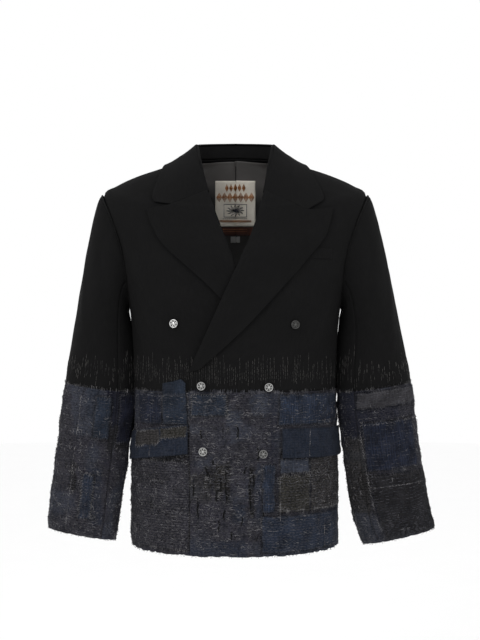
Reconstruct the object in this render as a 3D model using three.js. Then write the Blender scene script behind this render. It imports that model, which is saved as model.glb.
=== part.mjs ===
// A double-breasted jacket with peak lapels: plain black cloth above, pieced and patched boro cloth below,
// filled out as if worn, with its neck, hem and cuffs open.
// Millimetres. +Z is up, the front faces -Y, and +X is the wearer's left. The origin is the middle of the
// neck opening, level with the points where the shoulder seams meet the neck.
// A side's own outlines are given as distances out from the centre line, and the right side mirrors them.
import * as THREE from "three";

// ---- Driving dimensions
const CLOTH = 2; // wall of the jacket's own cloth
const THIN = 1; // wall of the lining, the labels and the applied patches
const SEAM = 0.3; // gap between neighbouring pieces
const PATCH_LIFT = 0.8; // a patch's underside above its panel
const LAPEL_LIFT = 4.3; // the middle of a lapel's wall above the front that it lies on
const ROLL_LIFT = 1.9; // the same where the lapel rolls over
const LEAF_START = 4; // how far past the roll line the flat of a lapel begins
// How far the left front stands out over the right one, and the distances out between which that fades.
const OVERLAP = { lapel: 9, skirt: 4.5, from: 88, to: 124 };
const ARMHOLE = { top: -70, bottom: -272, front: 25, back: 25 }; // heights at the side, widths in degrees
const ARMHOLE_STEPS = 14; // straight stretches round an armhole and a sleeve
// The steps where the undersleeve starts and ends, counted from the outer side by way of the front.
const SLEEVE_SEAMS = [5, 10];
const BREAK_HEIGHT = -384; // where the lapels start to roll
const LINING_GAP = 2.5; // between the back panels and the part-lining
const LINING_BOTTOM = 3.6; // ring where the part-lining ends, just past what the neck shows
const LABEL = { half: 39, top: -28, bottom: -114, strip: 76, stripBottom: -132, tab: 9, tabBottom: -146 };
const BUTTON = { radius: 7.5, height: 4.8, shank: 2.2, stand: 2.2 };
const FLAP = { inner: 80, outer: 84, deep: 51, lift: 2.6 };
const FLAP_TOP = { left: -483, right: -476 };
const FLAP_DROP = { left: 3, right: 21 }; // how much lower the outer end of a flap hangs
const WELT = { inner: 124, outer: 169, top: -171, bottom: -190, lift: 0.4 };

const BLACK = { color: 0x17171a, roughness: 0.9, metalness: 0 };
const BORO = { color: 0x2f3038, roughness: 0.95, metalness: 0 };
const NAVY = { color: 0x1c2740, roughness: 0.95, metalness: 0 };
const BLUE_GREY = { color: 0x3c4656, roughness: 0.95, metalness: 0 };
const CHARCOAL = { color: 0x3a383e, roughness: 0.95, metalness: 0 };
const OLIVE = { color: 0x3b3831, roughness: 0.95, metalness: 0 };
const SATIN = { color: 0x4a4542, roughness: 0.5, metalness: 0 };
const IVORY = { color: 0xcfcabd, roughness: 0.7, metalness: 0 };
const RUSSET = { color: 0x3d1f1a, roughness: 0.8, metalness: 0 };
const SLATE = { color: 0x6b6a6a, roughness: 0.8, metalness: 0 };
const STEEL = { color: 0xb4b4b4, roughness: 0.35, metalness: 1 };

// The body's form, ring by ring from the hem to the neck:
// height at the side | half width | side y | front y, front z | back y, back z | squareness
const BODY_RINGS = [
  [-700, 188, 0, -131, -704, 130, -700, 2.4],
  [-560, 187, 0, -134, -560, 130, -560, 2.4],
  [-420, 184, 0, -134, -420, 121, -420, 2.5],
  [-300, 188, 0, -137, -300, 127, -300, 2.8],
  [-210, 204, 2, -134, -212, 133, -205, 3.0],
  [-140, 224, 4, -124, -155, 129, -128, 2.6],
  [-70, 240, 6, -108, -110, 112, -58, 2.2],
  [-50, 216, 7, -100, -98, 105, -38, 2.1],
  [-33, 179, 7, -92, -87, 98, -20, 2.0],
  [-18, 135, 8, -80, -72, 90, -6, 2.0],
  [0, 77, 8, -60, -52, 78, 9, 2.0],
];
const JOIN = 2; // the body ring where the black cloth meets the patchwork
const NECK = BODY_RINGS.length - 1;
const REACH = 2.7; // millimetres round the body for each degree
const DROP = 1.6; // how fast a ring drops from the side towards the front and back
// The body's largest soft folds: angle and height at each end, half width, height of the ridge.
const FOLDS = [
  [-58, -120, -28, -350, 17, 5],
  [-44, -330, -20, -400, 15, -3],
  [44, -325, 18, -385, 18, 4],
  [70, -300, 50, -360, 16, -3.5],
  [-72, -300, -55, -370, 16, -3.5],
  [132, -150, 160, -330, 20, 4],
  [-132, -150, -160, -330, 20, 4],
  [112, -320, 150, -400, 18, -3.5],
  [-112, -320, -150, -400, 18, -3.5],
  [120, -640, 128, -460, 24, 4],
  [-126, -640, -120, -460, 24, 4],
];
// Front edge, roll line and neck seam of each front: height at the side, distance past the centre line.
const FRONT_EDGE = {
  left: [
    [-700, -77],
    [-400, -77],
    [-384, -72],
    [-362, -58],
    [-290, -27],
    [-205, 11],
    [-152, 29],
    [-75, 50],
    [-35, 61],
    [0, 70],
  ],
  right: [
    [-700, -77],
    [-400, -77],
    [-384, -72],
    [-362, -58],
    [-290, -29],
    [-205, 5],
    [-152, 21],
    [-75, 45],
    [-35, 60],
    [0, 70],
  ],
};
// Lapel outlines in the front view, as distances out from the centre line and heights.
const LAPEL = {
  left: {
    roll: [[52, -72], [26, -155], [-22, -261], [-77, -386]],
    notch: [125, -106],
    edge: [[172, -99], [163, -133], [148, -163], [85, -235], [19, -308], [-62, -383]],
  },
  right: {
    roll: [[48, -72], [17, -155], [-24, -261], [-77, -386]],
    notch: [112, -96],
    edge: [[155, -103], [140, -140], [117, -173], [45, -238], [-10, -300], [-62, -383]],
  },
};
// Collar: the fold line from the back to the front; the outer edge as angles and heights, then in the front view.
const COLLAR = {
  fold: [[0, 82, 36], [46, 66, 33], [68, 25, 26], [69, -10, 18], [61, -52, -20]],
  edge: [[180, -29], [150, -26], [118, -19], [92, -15]],
  left: { edge: [[142, -43], [155, -88]] },
  right: { edge: [[137, -43], [141, -91]] },
  bend: 2.8,
  neckShare: 0.7, // the share of a half collar that runs round the neck itself
};
// Sleeve rings below the armhole: centre x, y, z | half widths across and front to back | tilt in degrees.
const SLEEVE_RINGS = {
  left: [
    [247, -14, -320, 54, 72, 12],
    [252, -24, -417, 67, 58, 8],
    [263, -32, -526, 69, 50, 7],
    [279, -38, -633, 69, 40, 9],
    [294, -40, -683, 66, 32, 12.5],
  ],
  right: [
    [240, -14, -320, 53, 70, 12],
    [246, -22, -417, 62, 57, 8],
    [257, -30, -526, 64, 49, 6],
    [270, -36, -633, 64, 40, 8],
    [275, -38, -679, 62, 32, 10.5],
  ],
};
const SLEEVE_JOIN = 2; // the sleeve ring where the black cloth meets the patchwork
const CUFF = 5;
// How far the sleeve stands off the body as it leaves the armhole.
const SLEEVE_HEAD = { under: 14, top: 24 };

// Buttons in the front view: x, height, and the front that carries them.
const BUTTONS = {
  button_chest_right: [-104, -302, "right"],
  button_chest_left: [102, -304, "left"],
  button_waist_inner: [-56, -409, "left"],
  button_waist_outer: [57, -411, "left"],
  button_hip_inner: [-53.5, -522, "left"],
  button_hip_outer: [48, -526, "left"],
};
// Applied patches: the panel, the columns and the rows of its grid that they cover, and the cloth.
const PATCHES = {
  patch_front_left_blue: ["front_left_skirt", [0.1, 1.6], [5.1, 5.9], BLUE_GREY],
  patch_front_left_striped: ["front_left_skirt", [3.6, 8.8], [4.75, 5.9], NAVY],
  patch_front_left_pocket: ["front_left_skirt", [3.7, 5.4], [3, 3.5], BLUE_GREY],
  patch_front_left_brown: ["front_left_skirt", [5.6, 9], [1.6, 3.5], OLIVE],
  patch_front_left_olive: ["front_left_skirt", [3.6, 5.45], [1.6, 2.9], CHARCOAL],
  patch_front_left_strip: ["front_left_skirt", [2.85, 3.4], [1.6, 3.3], NAVY],
  patch_front_left_hem: ["front_left_skirt", [2.8, 8.4], [0.15, 1.45], NAVY],
  patch_front_right_blue: ["front_right_skirt", [3.8, 5.3], [4.75, 5.9], BLUE_GREY],
  patch_front_right_navy: ["front_right_skirt", [5.4, 7.6], [4.75, 5.9], NAVY],
  patch_front_right_charcoal: ["front_right_skirt", [3.7, 9.4], [0.2, 3.4], CHARCOAL],
  patch_flap_right_charcoal: ["flap_right", [2.1, 4.9], [0.9, 1.9], CHARCOAL],
  patch_flap_right_olive: ["flap_right", [0.1, 2], [1.2, 1.9], OLIVE],
  patch_back_left_navy: ["back_left_skirt", [1, 4.4], [2.4, 5.4], NAVY],
  patch_back_left_charcoal: ["back_left_skirt", [4.7, 7.7], [0.6, 3.2], CHARCOAL],
  patch_back_right_blue: ["back_right_skirt", [3.4, 7.5], [3.2, 5.7], BLUE_GREY],
  patch_back_right_navy: ["back_right_skirt", [0.8, 4.2], [0.4, 2.6], NAVY],
  patch_sleeve_left_band: ["sleeve_left_top_lower", [4.2, 8.8], [0.1, 0.62], BLUE_GREY],
  patch_sleeve_left_navy: ["sleeve_left_top_lower", [5.3, 8.6], [1.1, 2.6], NAVY],
  patch_sleeve_left_charcoal: ["sleeve_left_top_lower", [4.2, 8.4], [2.75, 5.8], CHARCOAL],
  patch_sleeve_left_back: ["sleeve_left_top_lower", [0.4, 3.3], [2.2, 4.7], NAVY],
  patch_sleeve_right_blue: ["sleeve_right_top_lower", [7.6, 8.6], [0.25, 1.6], BLUE_GREY],
  patch_sleeve_right_navy: ["sleeve_right_under_lower", [0.2, 1.6], [0.1, 1.7], NAVY],
  patch_sleeve_right_strip: ["sleeve_right_top_lower", [7.3, 8], [2.75, 4.4], NAVY],
  patch_sleeve_right_back: ["sleeve_right_top_lower", [0.5, 3.4], [0.8, 3], CHARCOAL],
};

const jacket = new THREE.Group();
jacket.name = "patched_boro_jacket";
const SIDES = { left: 1, right: -1 };
const { lerp, clamp, smoothstep, degToRad, radToDeg } = THREE.MathUtils;
const place = (x, y, z) => new THREE.Vector3(x, y, z);
const range = (from, to, steps) => Array.from({ length: steps + 1 }, (_, i) => lerp(from, to, i / steps));

// ---- Curves and grids

// The values at t on the smooth curve through rows that stand one unit apart.
function along(rows, t) {
  const last = rows.length - 1;
  const i = clamp(Math.floor(t), 0, last - 1);
  const f = t - i;
  return rows[i].map((start, k) => {
    const end = rows[i + 1][k];
    const before = i > 0 ? rows[i - 1][k] : 2 * start - end;
    const after = i + 1 < last ? rows[i + 2][k] : 2 * end - start;
    const slope = (end - before) / 2;
    const slopeEnd = (after - start) / 2;
    const bend = 3 * (end - start) - 2 * slope - slopeEnd;
    const twist = 2 * (start - end) + slope + slopeEnd;
    return start + f * (slope + f * (bend + f * twist));
  });
}

// The t between low and high where a rising function reaches a value.
function solve(rising, value, low, high) {
  for (let i = 0; i < 40; i += 1) {
    const middle = (low + high) / 2;
    if (rising(middle) < value) low = middle;
    else high = middle;
  }
  return (low + high) / 2;
}

// The distance at a height on a straight-sided outline whose rows are [height, distance], rising.
function atHeight(outline, height) {
  const next = clamp(outline.findIndex(([z]) => z >= height), 1, outline.length - 1);
  const [[low, start], [high, end]] = [outline[next - 1], outline[next]];
  return THREE.MathUtils.mapLinear(height, low, high, start, end);
}

// The unit normals of a grid of places, from its neighbouring places.
function gridNormals(grid) {
  const rows = grid.length - 1;
  const columns = grid[0].length - 1;
  return grid.map((line, j) =>
    line.map((_, i) => {
      const across = line[Math.min(i + 1, columns)].clone().sub(line[Math.max(i - 1, 0)]);
      const up = grid[Math.min(j + 1, rows)][i].clone().sub(grid[Math.max(j - 1, 0)][i]);
      return across.cross(up).normalize();
    }),
  );
}

// A copy of a grid whose rim has moved in by half the gap at a seam.
function insetRim(grid) {
  const rows = grid.length - 1;
  const columns = grid[0].length - 1;
  const inner = (k, most) => clamp(k, 1, most - 1);
  const toward = (from, to) => to.clone().sub(from).setLength(SEAM / 2);
  return grid.map((line, j) =>
    line.map((point, i) => {
      const moved = point.clone();
      if (i === 0 || i === columns) moved.add(toward(point, line[inner(i, columns)]));
      if (j === 0 || j === rows) moved.add(toward(point, grid[inner(j, rows)][i]));
      return moved;
    }),
  );
}

function addMesh(name, look, geometry) {
  const mesh = new THREE.Mesh(geometry, new THREE.MeshStandardMaterial(look));
  mesh.name = name;
  jacket.add(mesh);
}

// A closed wall between two grids of the same size, with its faces turned outwards.
function addWall(name, look, innerGrid, outerGrid) {
  const rows = innerGrid.length;
  const columns = innerGrid[0].length;
  const points = [...insetRim(innerGrid).flat(), ...insetRim(outerGrid).flat()];
  const at = (side, j, i) => side * rows * columns + j * columns + i;
  const faces = [];
  const quad = (a, b, c, d) => faces.push([a, b, c], [a, c, d]);
  for (let j = 0; j + 1 < rows; j += 1)
    for (let i = 0; i + 1 < columns; i += 1) {
      quad(at(1, j, i), at(1, j, i + 1), at(1, j + 1, i + 1), at(1, j + 1, i));
      quad(at(0, j, i), at(0, j + 1, i), at(0, j + 1, i + 1), at(0, j, i + 1));
    }
  for (let i = 0; i + 1 < columns; i += 1) {
    quad(at(0, 0, i), at(0, 0, i + 1), at(1, 0, i + 1), at(1, 0, i));
    quad(at(1, rows - 1, i), at(1, rows - 1, i + 1), at(0, rows - 1, i + 1), at(0, rows - 1, i));
  }
  for (let j = 0; j + 1 < rows; j += 1) {
    quad(at(1, j, 0), at(1, j + 1, 0), at(0, j + 1, 0), at(0, j, 0));
    const end = columns - 1;
    quad(at(0, j, end), at(0, j + 1, end), at(1, j + 1, end), at(1, j, end));
  }
  const volume = faces.reduce((sum, [a, b, c]) => sum + points[a].dot(points[b].clone().cross(points[c])), 0);
  if (volume < 0) faces.forEach((face) => face.reverse());
  const geometry = new THREE.BufferGeometry().setFromPoints(points);
  geometry.setIndex(faces.flat());
  geometry.computeVertexNormals();
  addMesh(name, look, geometry);
}

// A grid moved along its normals.
const liftGrid = (grid, normals, lift) =>
  grid.map((line, j) => line.map((point, i) => point.clone().addScaledVector(normals[j][i], lift)));

// A wall of even thickness with the grid in its middle.
function addMiddleWall(name, look, grid, thickness) {
  const normals = gridNormals(grid);
  addWall(name, look, liftGrid(grid, normals, -thickness / 2), liftGrid(grid, normals, thickness / 2));
}

// ---- The body's form

// How far the soft folds lift the cloth at an angle and a height.
function foldLift(angle, height) {
  return FOLDS.reduce((sum, [angle0, height0, angle1, height1, width, lift]) => {
    const start = new THREE.Vector2(angle0 * REACH, height0);
    const run = new THREE.Vector2(angle1 * REACH, height1).sub(start);
    const offset = new THREE.Vector2(angle * REACH, height).sub(start);
    const share = clamp(offset.dot(run) / run.lengthSq(), 0, 1);
    const fade = Math.sin(Math.PI * clamp(share, 0.08, 0.92));
    return sum + lift * fade * Math.exp(-offset.addScaledVector(run, -share).lengthSq() / width ** 2);
  }, 0);
}

// The body's outer surface at an angle from the front by way of the wearer's left, on ring v.
function bodyForm(angle, v) {
  const [height, half, sideY, frontY, frontZ, backY, backZ, square] = along(BODY_RINGS, v);
  const sine = Math.sin(degToRad(angle));
  const cosine = Math.cos(degToRad(angle));
  const toward = Math.abs(cosine) ** (2 / square);
  const [endY, endZ] = cosine > 0 ? [frontY, frontZ] : [backY, backZ];
  const x = half * Math.sign(sine) * Math.abs(sine) ** (2 / square);
  const y = lerp(sideY, endY, toward);
  const z = lerp(height, endZ, toward ** DROP);
  const out = foldLift(angle, z);
  const flat = Math.hypot(x, y);
  return place(x + (out * x) / flat, y + (out * y) / flat, z);
}

function bodyNormal(angle, v) {
  const across = bodyForm(angle + 0.5, v).sub(bodyForm(angle - 0.5, v));
  const up = bodyForm(angle, Math.min(v + 0.03, NECK)).sub(bodyForm(angle, Math.max(v - 0.03, 0)));
  return across.cross(up).normalize();
}

// The angle on ring v where the body is x out from the centre line.
function angleAt(x, v) {
  const [, half, , , , , , square] = along(BODY_RINGS, v);
  const share = clamp(x / half, -1, 1);
  return radToDeg(Math.asin(Math.sign(share) * Math.abs(share) ** (square / 2)));
}

// The angle and ring of the body's front at a place in the front view.
function onFront(x, z) {
  const v = solve((u) => bodyForm(angleAt(x, u), u).z, z, 0, NECK);
  return [angleAt(x, v), v];
}

const ringAt = (angle, z) => solve((u) => bodyForm(angle, u).z, z, 0, NECK);

// How far a front's outer surface stands out of the body's form: the left front lies over the right one.
function frontLayer(side, x, z) {
  if (side === "right") return 0;
  const full = lerp(OVERLAP.skirt, OVERLAP.lapel, smoothstep(z, -440, -385));
  return full * (1 - smoothstep(x, OVERLAP.from, OVERLAP.to)) * (1 - smoothstep(z, -195, -145));
}

function frontPoint(side, angle, v, lift) {
  const form = bodyForm(angle, v);
  return form.clone().addScaledVector(bodyNormal(angle, v), lift + frontLayer(side, form.x, form.z));
}

// A place in the front view of one side, laid on its front with a lift; out counts from the centre line.
function onFrontPanel(side, out, z, lift) {
  const [angle, v] = onFront(SIDES[side] * out, z);
  return frontPoint(side, angle, v, lift);
}

// ---- Front and back panels

const armholeLow = ringAt(90, ARMHOLE.bottom);
const armholeHigh = ringAt(90, ARMHOLE.top);
const armholeMiddle = (armholeLow + armholeHigh) / 2;
const armholeHalf = (armholeHigh - armholeLow) / 2;

// The armhole at a turn in degrees from its top by way of the front: angle on the body and ring.
function armhole(turn) {
  const sine = Math.sin(degToRad(turn));
  const width = sine > 0 ? ARMHOLE.front : ARMHOLE.back;
  return [90 - width * sine, armholeMiddle + armholeHalf * Math.cos(degToRad(turn))];
}

// How far a panel's outer edge keeps from the side seam on ring v, in degrees.
function armholeWidth(v, width) {
  const share = clamp((v - armholeMiddle) / armholeHalf, -1, 1);
  return width * Math.sqrt(1 - share ** 2);
}

// The angle of a front's edge on ring v, as a turn towards its own side.
function edgeAngle(side, v) {
  return angleAt(atHeight(FRONT_EDGE[side], along(BODY_RINGS, v)[0]), v);
}

// The ring where a front's edge is at a height.
function edgeRing(side, z) {
  return solve((v) => bodyForm(SIDES[side] * edgeAngle(side, v), v).z, z, 0, NECK);
}

const skirtRows = range(0, JOIN, 6);
const armholeRows = range(180, 0, ARMHOLE_STEPS / 2).map((turn) => armhole(turn)[1]);
const breakRing = edgeRing("left", BREAK_HEIGHT);
const gorgeRing = edgeRing("left", LAPEL.left.roll[0][1]);
const topRows = [
  JOIN,
  ...range(breakRing, armholeLow, 3).slice(0, -1),
  ...armholeRows,
  ...range(armholeHigh, gorgeRing, 2).slice(1),
  ...range(gorgeRing, NECK, 2).slice(1),
];
const lapelRows = topRows.filter((v) => v > JOIN && v <= gorgeRing).reverse();
const FRONT_COLUMNS = 10;
const BACK_COLUMNS = 8;
const FLAP_COLUMNS = 7;
const panels = {}; // each panel's outer grid, for what lies on it

function addFront(side, part, rows) {
  const layer = (lift) =>
    rows.map((v) =>
      range(edgeAngle(side, v), 90 - armholeWidth(v, ARMHOLE.front), FRONT_COLUMNS).map((angle) =>
        frontPoint(side, SIDES[side] * angle, v, lift),
      ),
    );
  const name = `front_${side}_${part}`;
  panels[name] = layer(0);
  addWall(name, part === "top" ? BLACK : BORO, layer(-CLOTH), panels[name]);
}

// A back panel's grid at a lift, from the side seam or armhole to the centre seam.
function backLayer(side, rows, lift) {
  return rows.map((v) =>
    range(90 + armholeWidth(v, ARMHOLE.back), 180, BACK_COLUMNS).map((angle) => {
      const turned = SIDES[side] * angle;
      return bodyForm(turned, v).addScaledVector(bodyNormal(turned, v), lift);
    }),
  );
}

function addBack(side, part, rows) {
  const name = `back_${side}_${part}`;
  panels[name] = backLayer(side, rows, 0);
  addWall(name, part === "top" ? BLACK : BORO, backLayer(side, rows, -CLOTH), panels[name]);
}

// ---- Sleeves

function sleeveRing(side, turn, w) {
  const [x, y, z, across, deep, tilt] = along(SLEEVE_RINGS[side], w - 1);
  const out = (across - CLOTH) * Math.cos(degToRad(turn));
  const lean = degToRad(tilt);
  return place(
    SIDES[side] * (x + out * Math.cos(lean)),
    y - (deep - CLOTH) * Math.sin(degToRad(turn)),
    z + out * Math.sin(lean),
  );
}

// The sleeve's inner surface at a turn from its outer side by way of the front, w rings below the armhole.
function sleeveForm(side, turn, w) {
  const first = sleeveRing(side, turn, Math.max(w, 1));
  if (w >= 1) return first;
  const [angle, v] = armhole(turn);
  const turned = SIDES[side] * angle;
  const normal = bodyNormal(turned, v);
  const start = bodyForm(turned, v).addScaledVector(normal, 3 * SEAM);
  const upper = Math.max(Math.cos(degToRad(turn)), 0);
  const leave = normal.add(place(0, 0, -0.3 - 0.7 * upper)).normalize();
  const stand = lerp(SLEEVE_HEAD.under, SLEEVE_HEAD.top, (1 + Math.cos(degToRad(turn))) / 2);
  const down = sleeveRing(side, turn, 1.2).sub(first).normalize();
  const arrive = first.clone().addScaledVector(down, -0.4 * first.distanceTo(start));
  const handle = start.clone().addScaledVector(leave, stand);
  return new THREE.CubicBezierCurve3(start, handle, arrive, first).getPoint(w);
}

function sleeveNormal(side, turn, w) {
  const across = sleeveForm(side, turn + 2, w).sub(sleeveForm(side, turn - 2, w));
  const below = sleeveForm(side, turn, Math.min(w + 0.03, CUFF));
  const down = below.sub(sleeveForm(side, turn, Math.max(w - 0.03, 0)));
  return across.cross(down).normalize().multiplyScalar(SIDES[side]);
}

function addSleevePiece(side, piece, [firstStep, lastStep], part, rings) {
  const turns = range(firstStep, lastStep, lastStep - firstStep).map((step) => (step * 360) / ARMHOLE_STEPS);
  const layer = (lift) =>
    rings.map((w) =>
      turns.map((turn) => sleeveForm(side, turn, w).addScaledVector(sleeveNormal(side, turn, w), lift)),
    );
  const name = `sleeve_${side}_${piece}_${part}`;
  panels[name] = layer(CLOTH);
  addWall(name, part === "upper" ? BLACK : BORO, layer(0), panels[name]);
}

function addSleeve(side) {
  const [under, top] = SLEEVE_SEAMS;
  const pieces = { under: [under, top], top: [top, under + ARMHOLE_STEPS] };
  for (const [piece, steps] of Object.entries(pieces)) {
    addSleevePiece(side, piece, steps, "upper", [0, 0.12, 0.28, 0.46, 0.64, 0.82, 1, 1.5, SLEEVE_JOIN]);
    addSleevePiece(side, piece, steps, "lower", range(SLEEVE_JOIN, CUFF, 6));
  }
}

// ---- Lapels and collar

const LEAF_COLUMNS = 5; // stretches across a lapel's or the collar's leaf
const NOTCH_COLUMN = 3; // the column where the notch lies, on both
const COLLAR_HALF_STEPS = 11; // rows of the collar from the centre back to a gorge

// The columns of a leaf between two places in the front view, drawn through the notch by a share.
function leafColumns(start, notch, end, share) {
  return range(0, 1, LEAF_COLUMNS).map((u, i) => {
    const straight = [lerp(start[0], end[0], u), lerp(start[1], end[1], u)];
    const near = i / NOTCH_COLUMN;
    const far = (i - NOTCH_COLUMN) / (LEAF_COLUMNS - NOTCH_COLUMN);
    const bent = [0, 1].map((k) => (near < 1 ? lerp(start[k], notch[k], near) : lerp(notch[k], end[k], far)));
    return [lerp(straight[0], bent[0], share), lerp(straight[1], bent[1], share)];
  });
}

// Where a lapel's leaf starts, just past the roll, for a place on the roll line.
const leafStart = ([out, z]) => [out + LEAF_START, z];

// Rows from the gorge down to the break. Each goes from the front's edge round the roll and out over the leaf.
function addLapel(side) {
  const { roll, notch, edge } = LAPEL[side];
  const rows = lapelRows.map((v) => {
    const angle = edgeAngle(side, v);
    const border = bodyForm(SIDES[side] * angle, v);
    const borderOut = SIDES[side] * border.x;
    const t = clamp(solve((u) => -along(roll, u * (roll.length - 1))[1], -border.z, 0, 1), 0, 1);
    const rolled = along(roll, t * (roll.length - 1));
    const leaf = leafColumns(leafStart(rolled), notch, along(edge, t * (edge.length - 1)), (1 - t) ** 6);
    return [
      frontPoint(side, SIDES[side] * (angle - 0.15), v, -CLOTH / 2),
      onFrontPanel(side, lerp(borderOut, rolled[0], 0.6), rolled[1], -0.2),
      onFrontPanel(side, ...rolled, ROLL_LIFT),
      ...leaf.map((spot) => onFrontPanel(side, ...spot, LAPEL_LIFT)),
    ];
  });
  addMiddleWall(`lapel_${side}`, BLACK, rows, CLOTH);
}

// What the collar stands on and folds over, at u from 0 at the centre back to 1 at the gorge of one side.
function collarLine(side, u) {
  const sign = SIDES[side];
  const { neckShare } = COLLAR;
  const gorge = LAPEL[side].roll[0];
  const neckAngle = edgeAngle(side, NECK);
  const past = Math.max(u - neckShare, 0) / (1 - neckShare);
  const seamRing = lerp(NECK, gorgeRing, past);
  const seamAngle = u < neckShare ? lerp(180, neckAngle, u / neckShare) : edgeAngle(side, seamRing);
  const seam = bodyForm(sign * seamAngle, seamRing);
  const last = onFrontPanel(side, gorge[0], gorge[1] + 2 * SEAM, ROLL_LIFT);
  const foldRows = [...COLLAR.fold, [Math.abs(last.x), last.y, last.z]];
  const fold = place(...along(foldRows, u * (foldRows.length - 1)));
  fold.x *= sign;
  const [gorgeAngle, ring] = onFront(sign * gorge[0], gorge[1]);
  const ground = [lerp(sign * seamAngle, gorgeAngle, past ** 2), lerp(seamRing, ring, past ** 2)];
  return { seam, fold, ground };
}

// The collar's outer edge at u, as an angle and a ring of the body.
function collarEdge(side, u) {
  const sign = SIDES[side];
  const back = COLLAR.edge.map(([angle, z]) => [sign * angle, ringAt(sign * angle, z)]);
  const front = COLLAR[side].edge.map(([out, z]) => onFront(sign * out, z));
  return along([...back, ...front], u * (back.length + front.length - 1));
}

// Directions at the fold: up past the stand, and outwards over the leaf.
function foldAxes(side, u) {
  const { seam, fold, ground } = collarLine(side, u);
  const ahead = collarLine(side, Math.min(u + 0.02, 1)).fold;
  const tangent = ahead.sub(collarLine(side, Math.max(u - 0.02, 0)).fold);
  const rise = fold.clone().sub(seam).normalize();
  const out = tangent.cross(rise).normalize().multiplyScalar(-SIDES[side]);
  return { out, rise, seam, fold, ground };
}

function collarRow(side, u) {
  const { out, fold, rise, ground } = foldAxes(side, u);
  const edge = collarEdge(side, u);
  const { bend } = COLLAR;
  const roll = [20, 75, 125].map((turn) =>
    fold
      .clone()
      .addScaledVector(out, -bend * Math.cos(degToRad(turn)))
      .addScaledVector(rise, 0.6 * bend * Math.sin(degToRad(turn))),
  );
  const onBody = (share) => {
    const spot = [lerp(ground[0], edge[0], share), lerp(ground[1], edge[1], share)];
    return bodyForm(...spot).addScaledVector(bodyNormal(...spot), LAPEL_LIFT * Math.min(1, 2 * share));
  };
  const lifted = fold.clone().addScaledVector(out, bend).sub(onBody(0));
  const { roll: lapelRoll, notch } = LAPEL[side];
  const corner = COLLAR[side].edge[1];
  const end = leafColumns(leafStart(lapelRoll[0]), notch, corner, 1);
  const leaf = end.map((spot, i) => {
    const share = i / LEAF_COLUMNS;
    const free = onBody(share).addScaledVector(lifted, (1 - share) ** 1.7);
    return free.lerp(onFrontPanel(side, spot[0], spot[1] + 2 * SEAM, LAPEL_LIFT), u ** 14);
  });
  return [...roll, ...leaf];
}

function standRow(side, u) {
  const { fold, rise, seam } = foldAxes(side, u);
  const low = seam.clone().addScaledVector(rise, 3 * SEAM);
  const high = fold.clone().addScaledVector(rise, -CLOTH);
  return [low, low.clone().lerp(high, 0.5), high];
}

// Rows from the gorge of the wearer's right, round the back, to the gorge of the left.
function collarRows(rowAt, halfSteps) {
  const shares = range(0, 1, halfSteps).map((u) => 1 - (1 - u) ** 1.15);
  const right = [...shares].reverse().map((u) => rowAt("right", u));
  const left = shares.slice(1).map((u) => rowAt("left", u));
  return [...right, ...left];
}

function addCollar() {
  addMiddleWall("collar_fall", BLACK, collarRows(collarRow, COLLAR_HALF_STEPS), CLOTH);
  addMiddleWall("collar_stand", BLACK, collarRows(standRow, COLLAR_HALF_STEPS), CLOTH);
}

// ---- Pockets, lining, labels and buttons

function addFlap(side) {
  const top = FLAP_TOP[side];
  const rows = range(top - FLAP.deep, top, 2).map((z) => {
    const start = Math.abs(onFront(SIDES[side] * FLAP.inner, z)[0]);
    return range(start, FLAP.outer, FLAP_COLUMNS).map((turn, column) => {
      const angle = SIDES[side] * turn;
      return [angle, ringAt(angle, z - (FLAP_DROP[side] * column) / FLAP_COLUMNS)];
    });
  });
  const layer = (lift) => rows.map((row) => row.map(([angle, v]) => frontPoint(side, angle, v, lift)));
  const name = `flap_${side}`;
  panels[name] = layer(FLAP.lift + CLOTH);
  addWall(name, side === "left" ? BORO : NAVY, layer(FLAP.lift), panels[name]);
}

function addWelt() {
  const layer = (lift) =>
    [WELT.bottom, WELT.top].map((z) =>
      range(WELT.inner, WELT.outer, 5).map((out) => onFrontPanel("left", out, z, WELT.lift + lift)),
    );
  addWall("breast_welt", BLACK, layer(0), layer(THIN));
}

// The part-lining lies inside the back panels, from one side seam round to the other.
function liningGrid(depth) {
  const rows = [...topRows.filter((v) => v > LINING_BOTTOM && v < NECK), NECK - 0.15];
  const lift = -CLOTH - LINING_GAP - depth;
  const left = backLayer("left", rows, lift);
  const right = backLayer("right", rows, lift);
  const half = (line) => [line[0].clone().lerp(line[1], 0.3), ...line.slice(1)];
  return left.map((line, j) => [...half(line), ...half(right[j]).reverse().slice(1)]);
}

function addLining() {
  panels.back_lining = liningGrid(THIN);
  addWall("back_lining", SATIN, panels.back_lining, liningGrid(0));
}

// A flat piece on the lining's inner side, given by its half width and its two heights.
function addInside(name, look, half, bottom, top) {
  const grid = panels.back_lining;
  const normals = gridNormals(grid);
  const inward = normals[0][grid[0].length >> 1].y < 0 ? 1 : -1;
  const spot = (x, z) => {
    let row = 0;
    let column = 0;
    for (let pass = 0; pass < 3; pass += 1) {
      column = solve((i) => -inGrid(grid, i, row).x, -x, 0, grid[0].length - 1);
      row = solve((j) => inGrid(grid, column, j).z, z, 0, grid.length - 1);
    }
    return [column, row];
  };
  const layer = (lift) => {
    const lifted = liftGrid(grid, normals, inward * lift);
    return range(bottom, top, 6).map((z) => range(-half, half, 8).map((x) => inGrid(lifted, ...spot(x, z))));
  };
  addWall(name, look, layer(PATCH_LIFT), layer(PATCH_LIFT + THIN));
}

function addLabels() {
  addInside("label", IVORY, LABEL.half, LABEL.bottom, LABEL.top);
  addInside("label_strip", RUSSET, LABEL.strip / 2, LABEL.stripBottom, LABEL.bottom - 2);
  addInside("size_tab", SLATE, LABEL.tab, LABEL.tabBottom, LABEL.stripBottom - 2);
}

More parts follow.
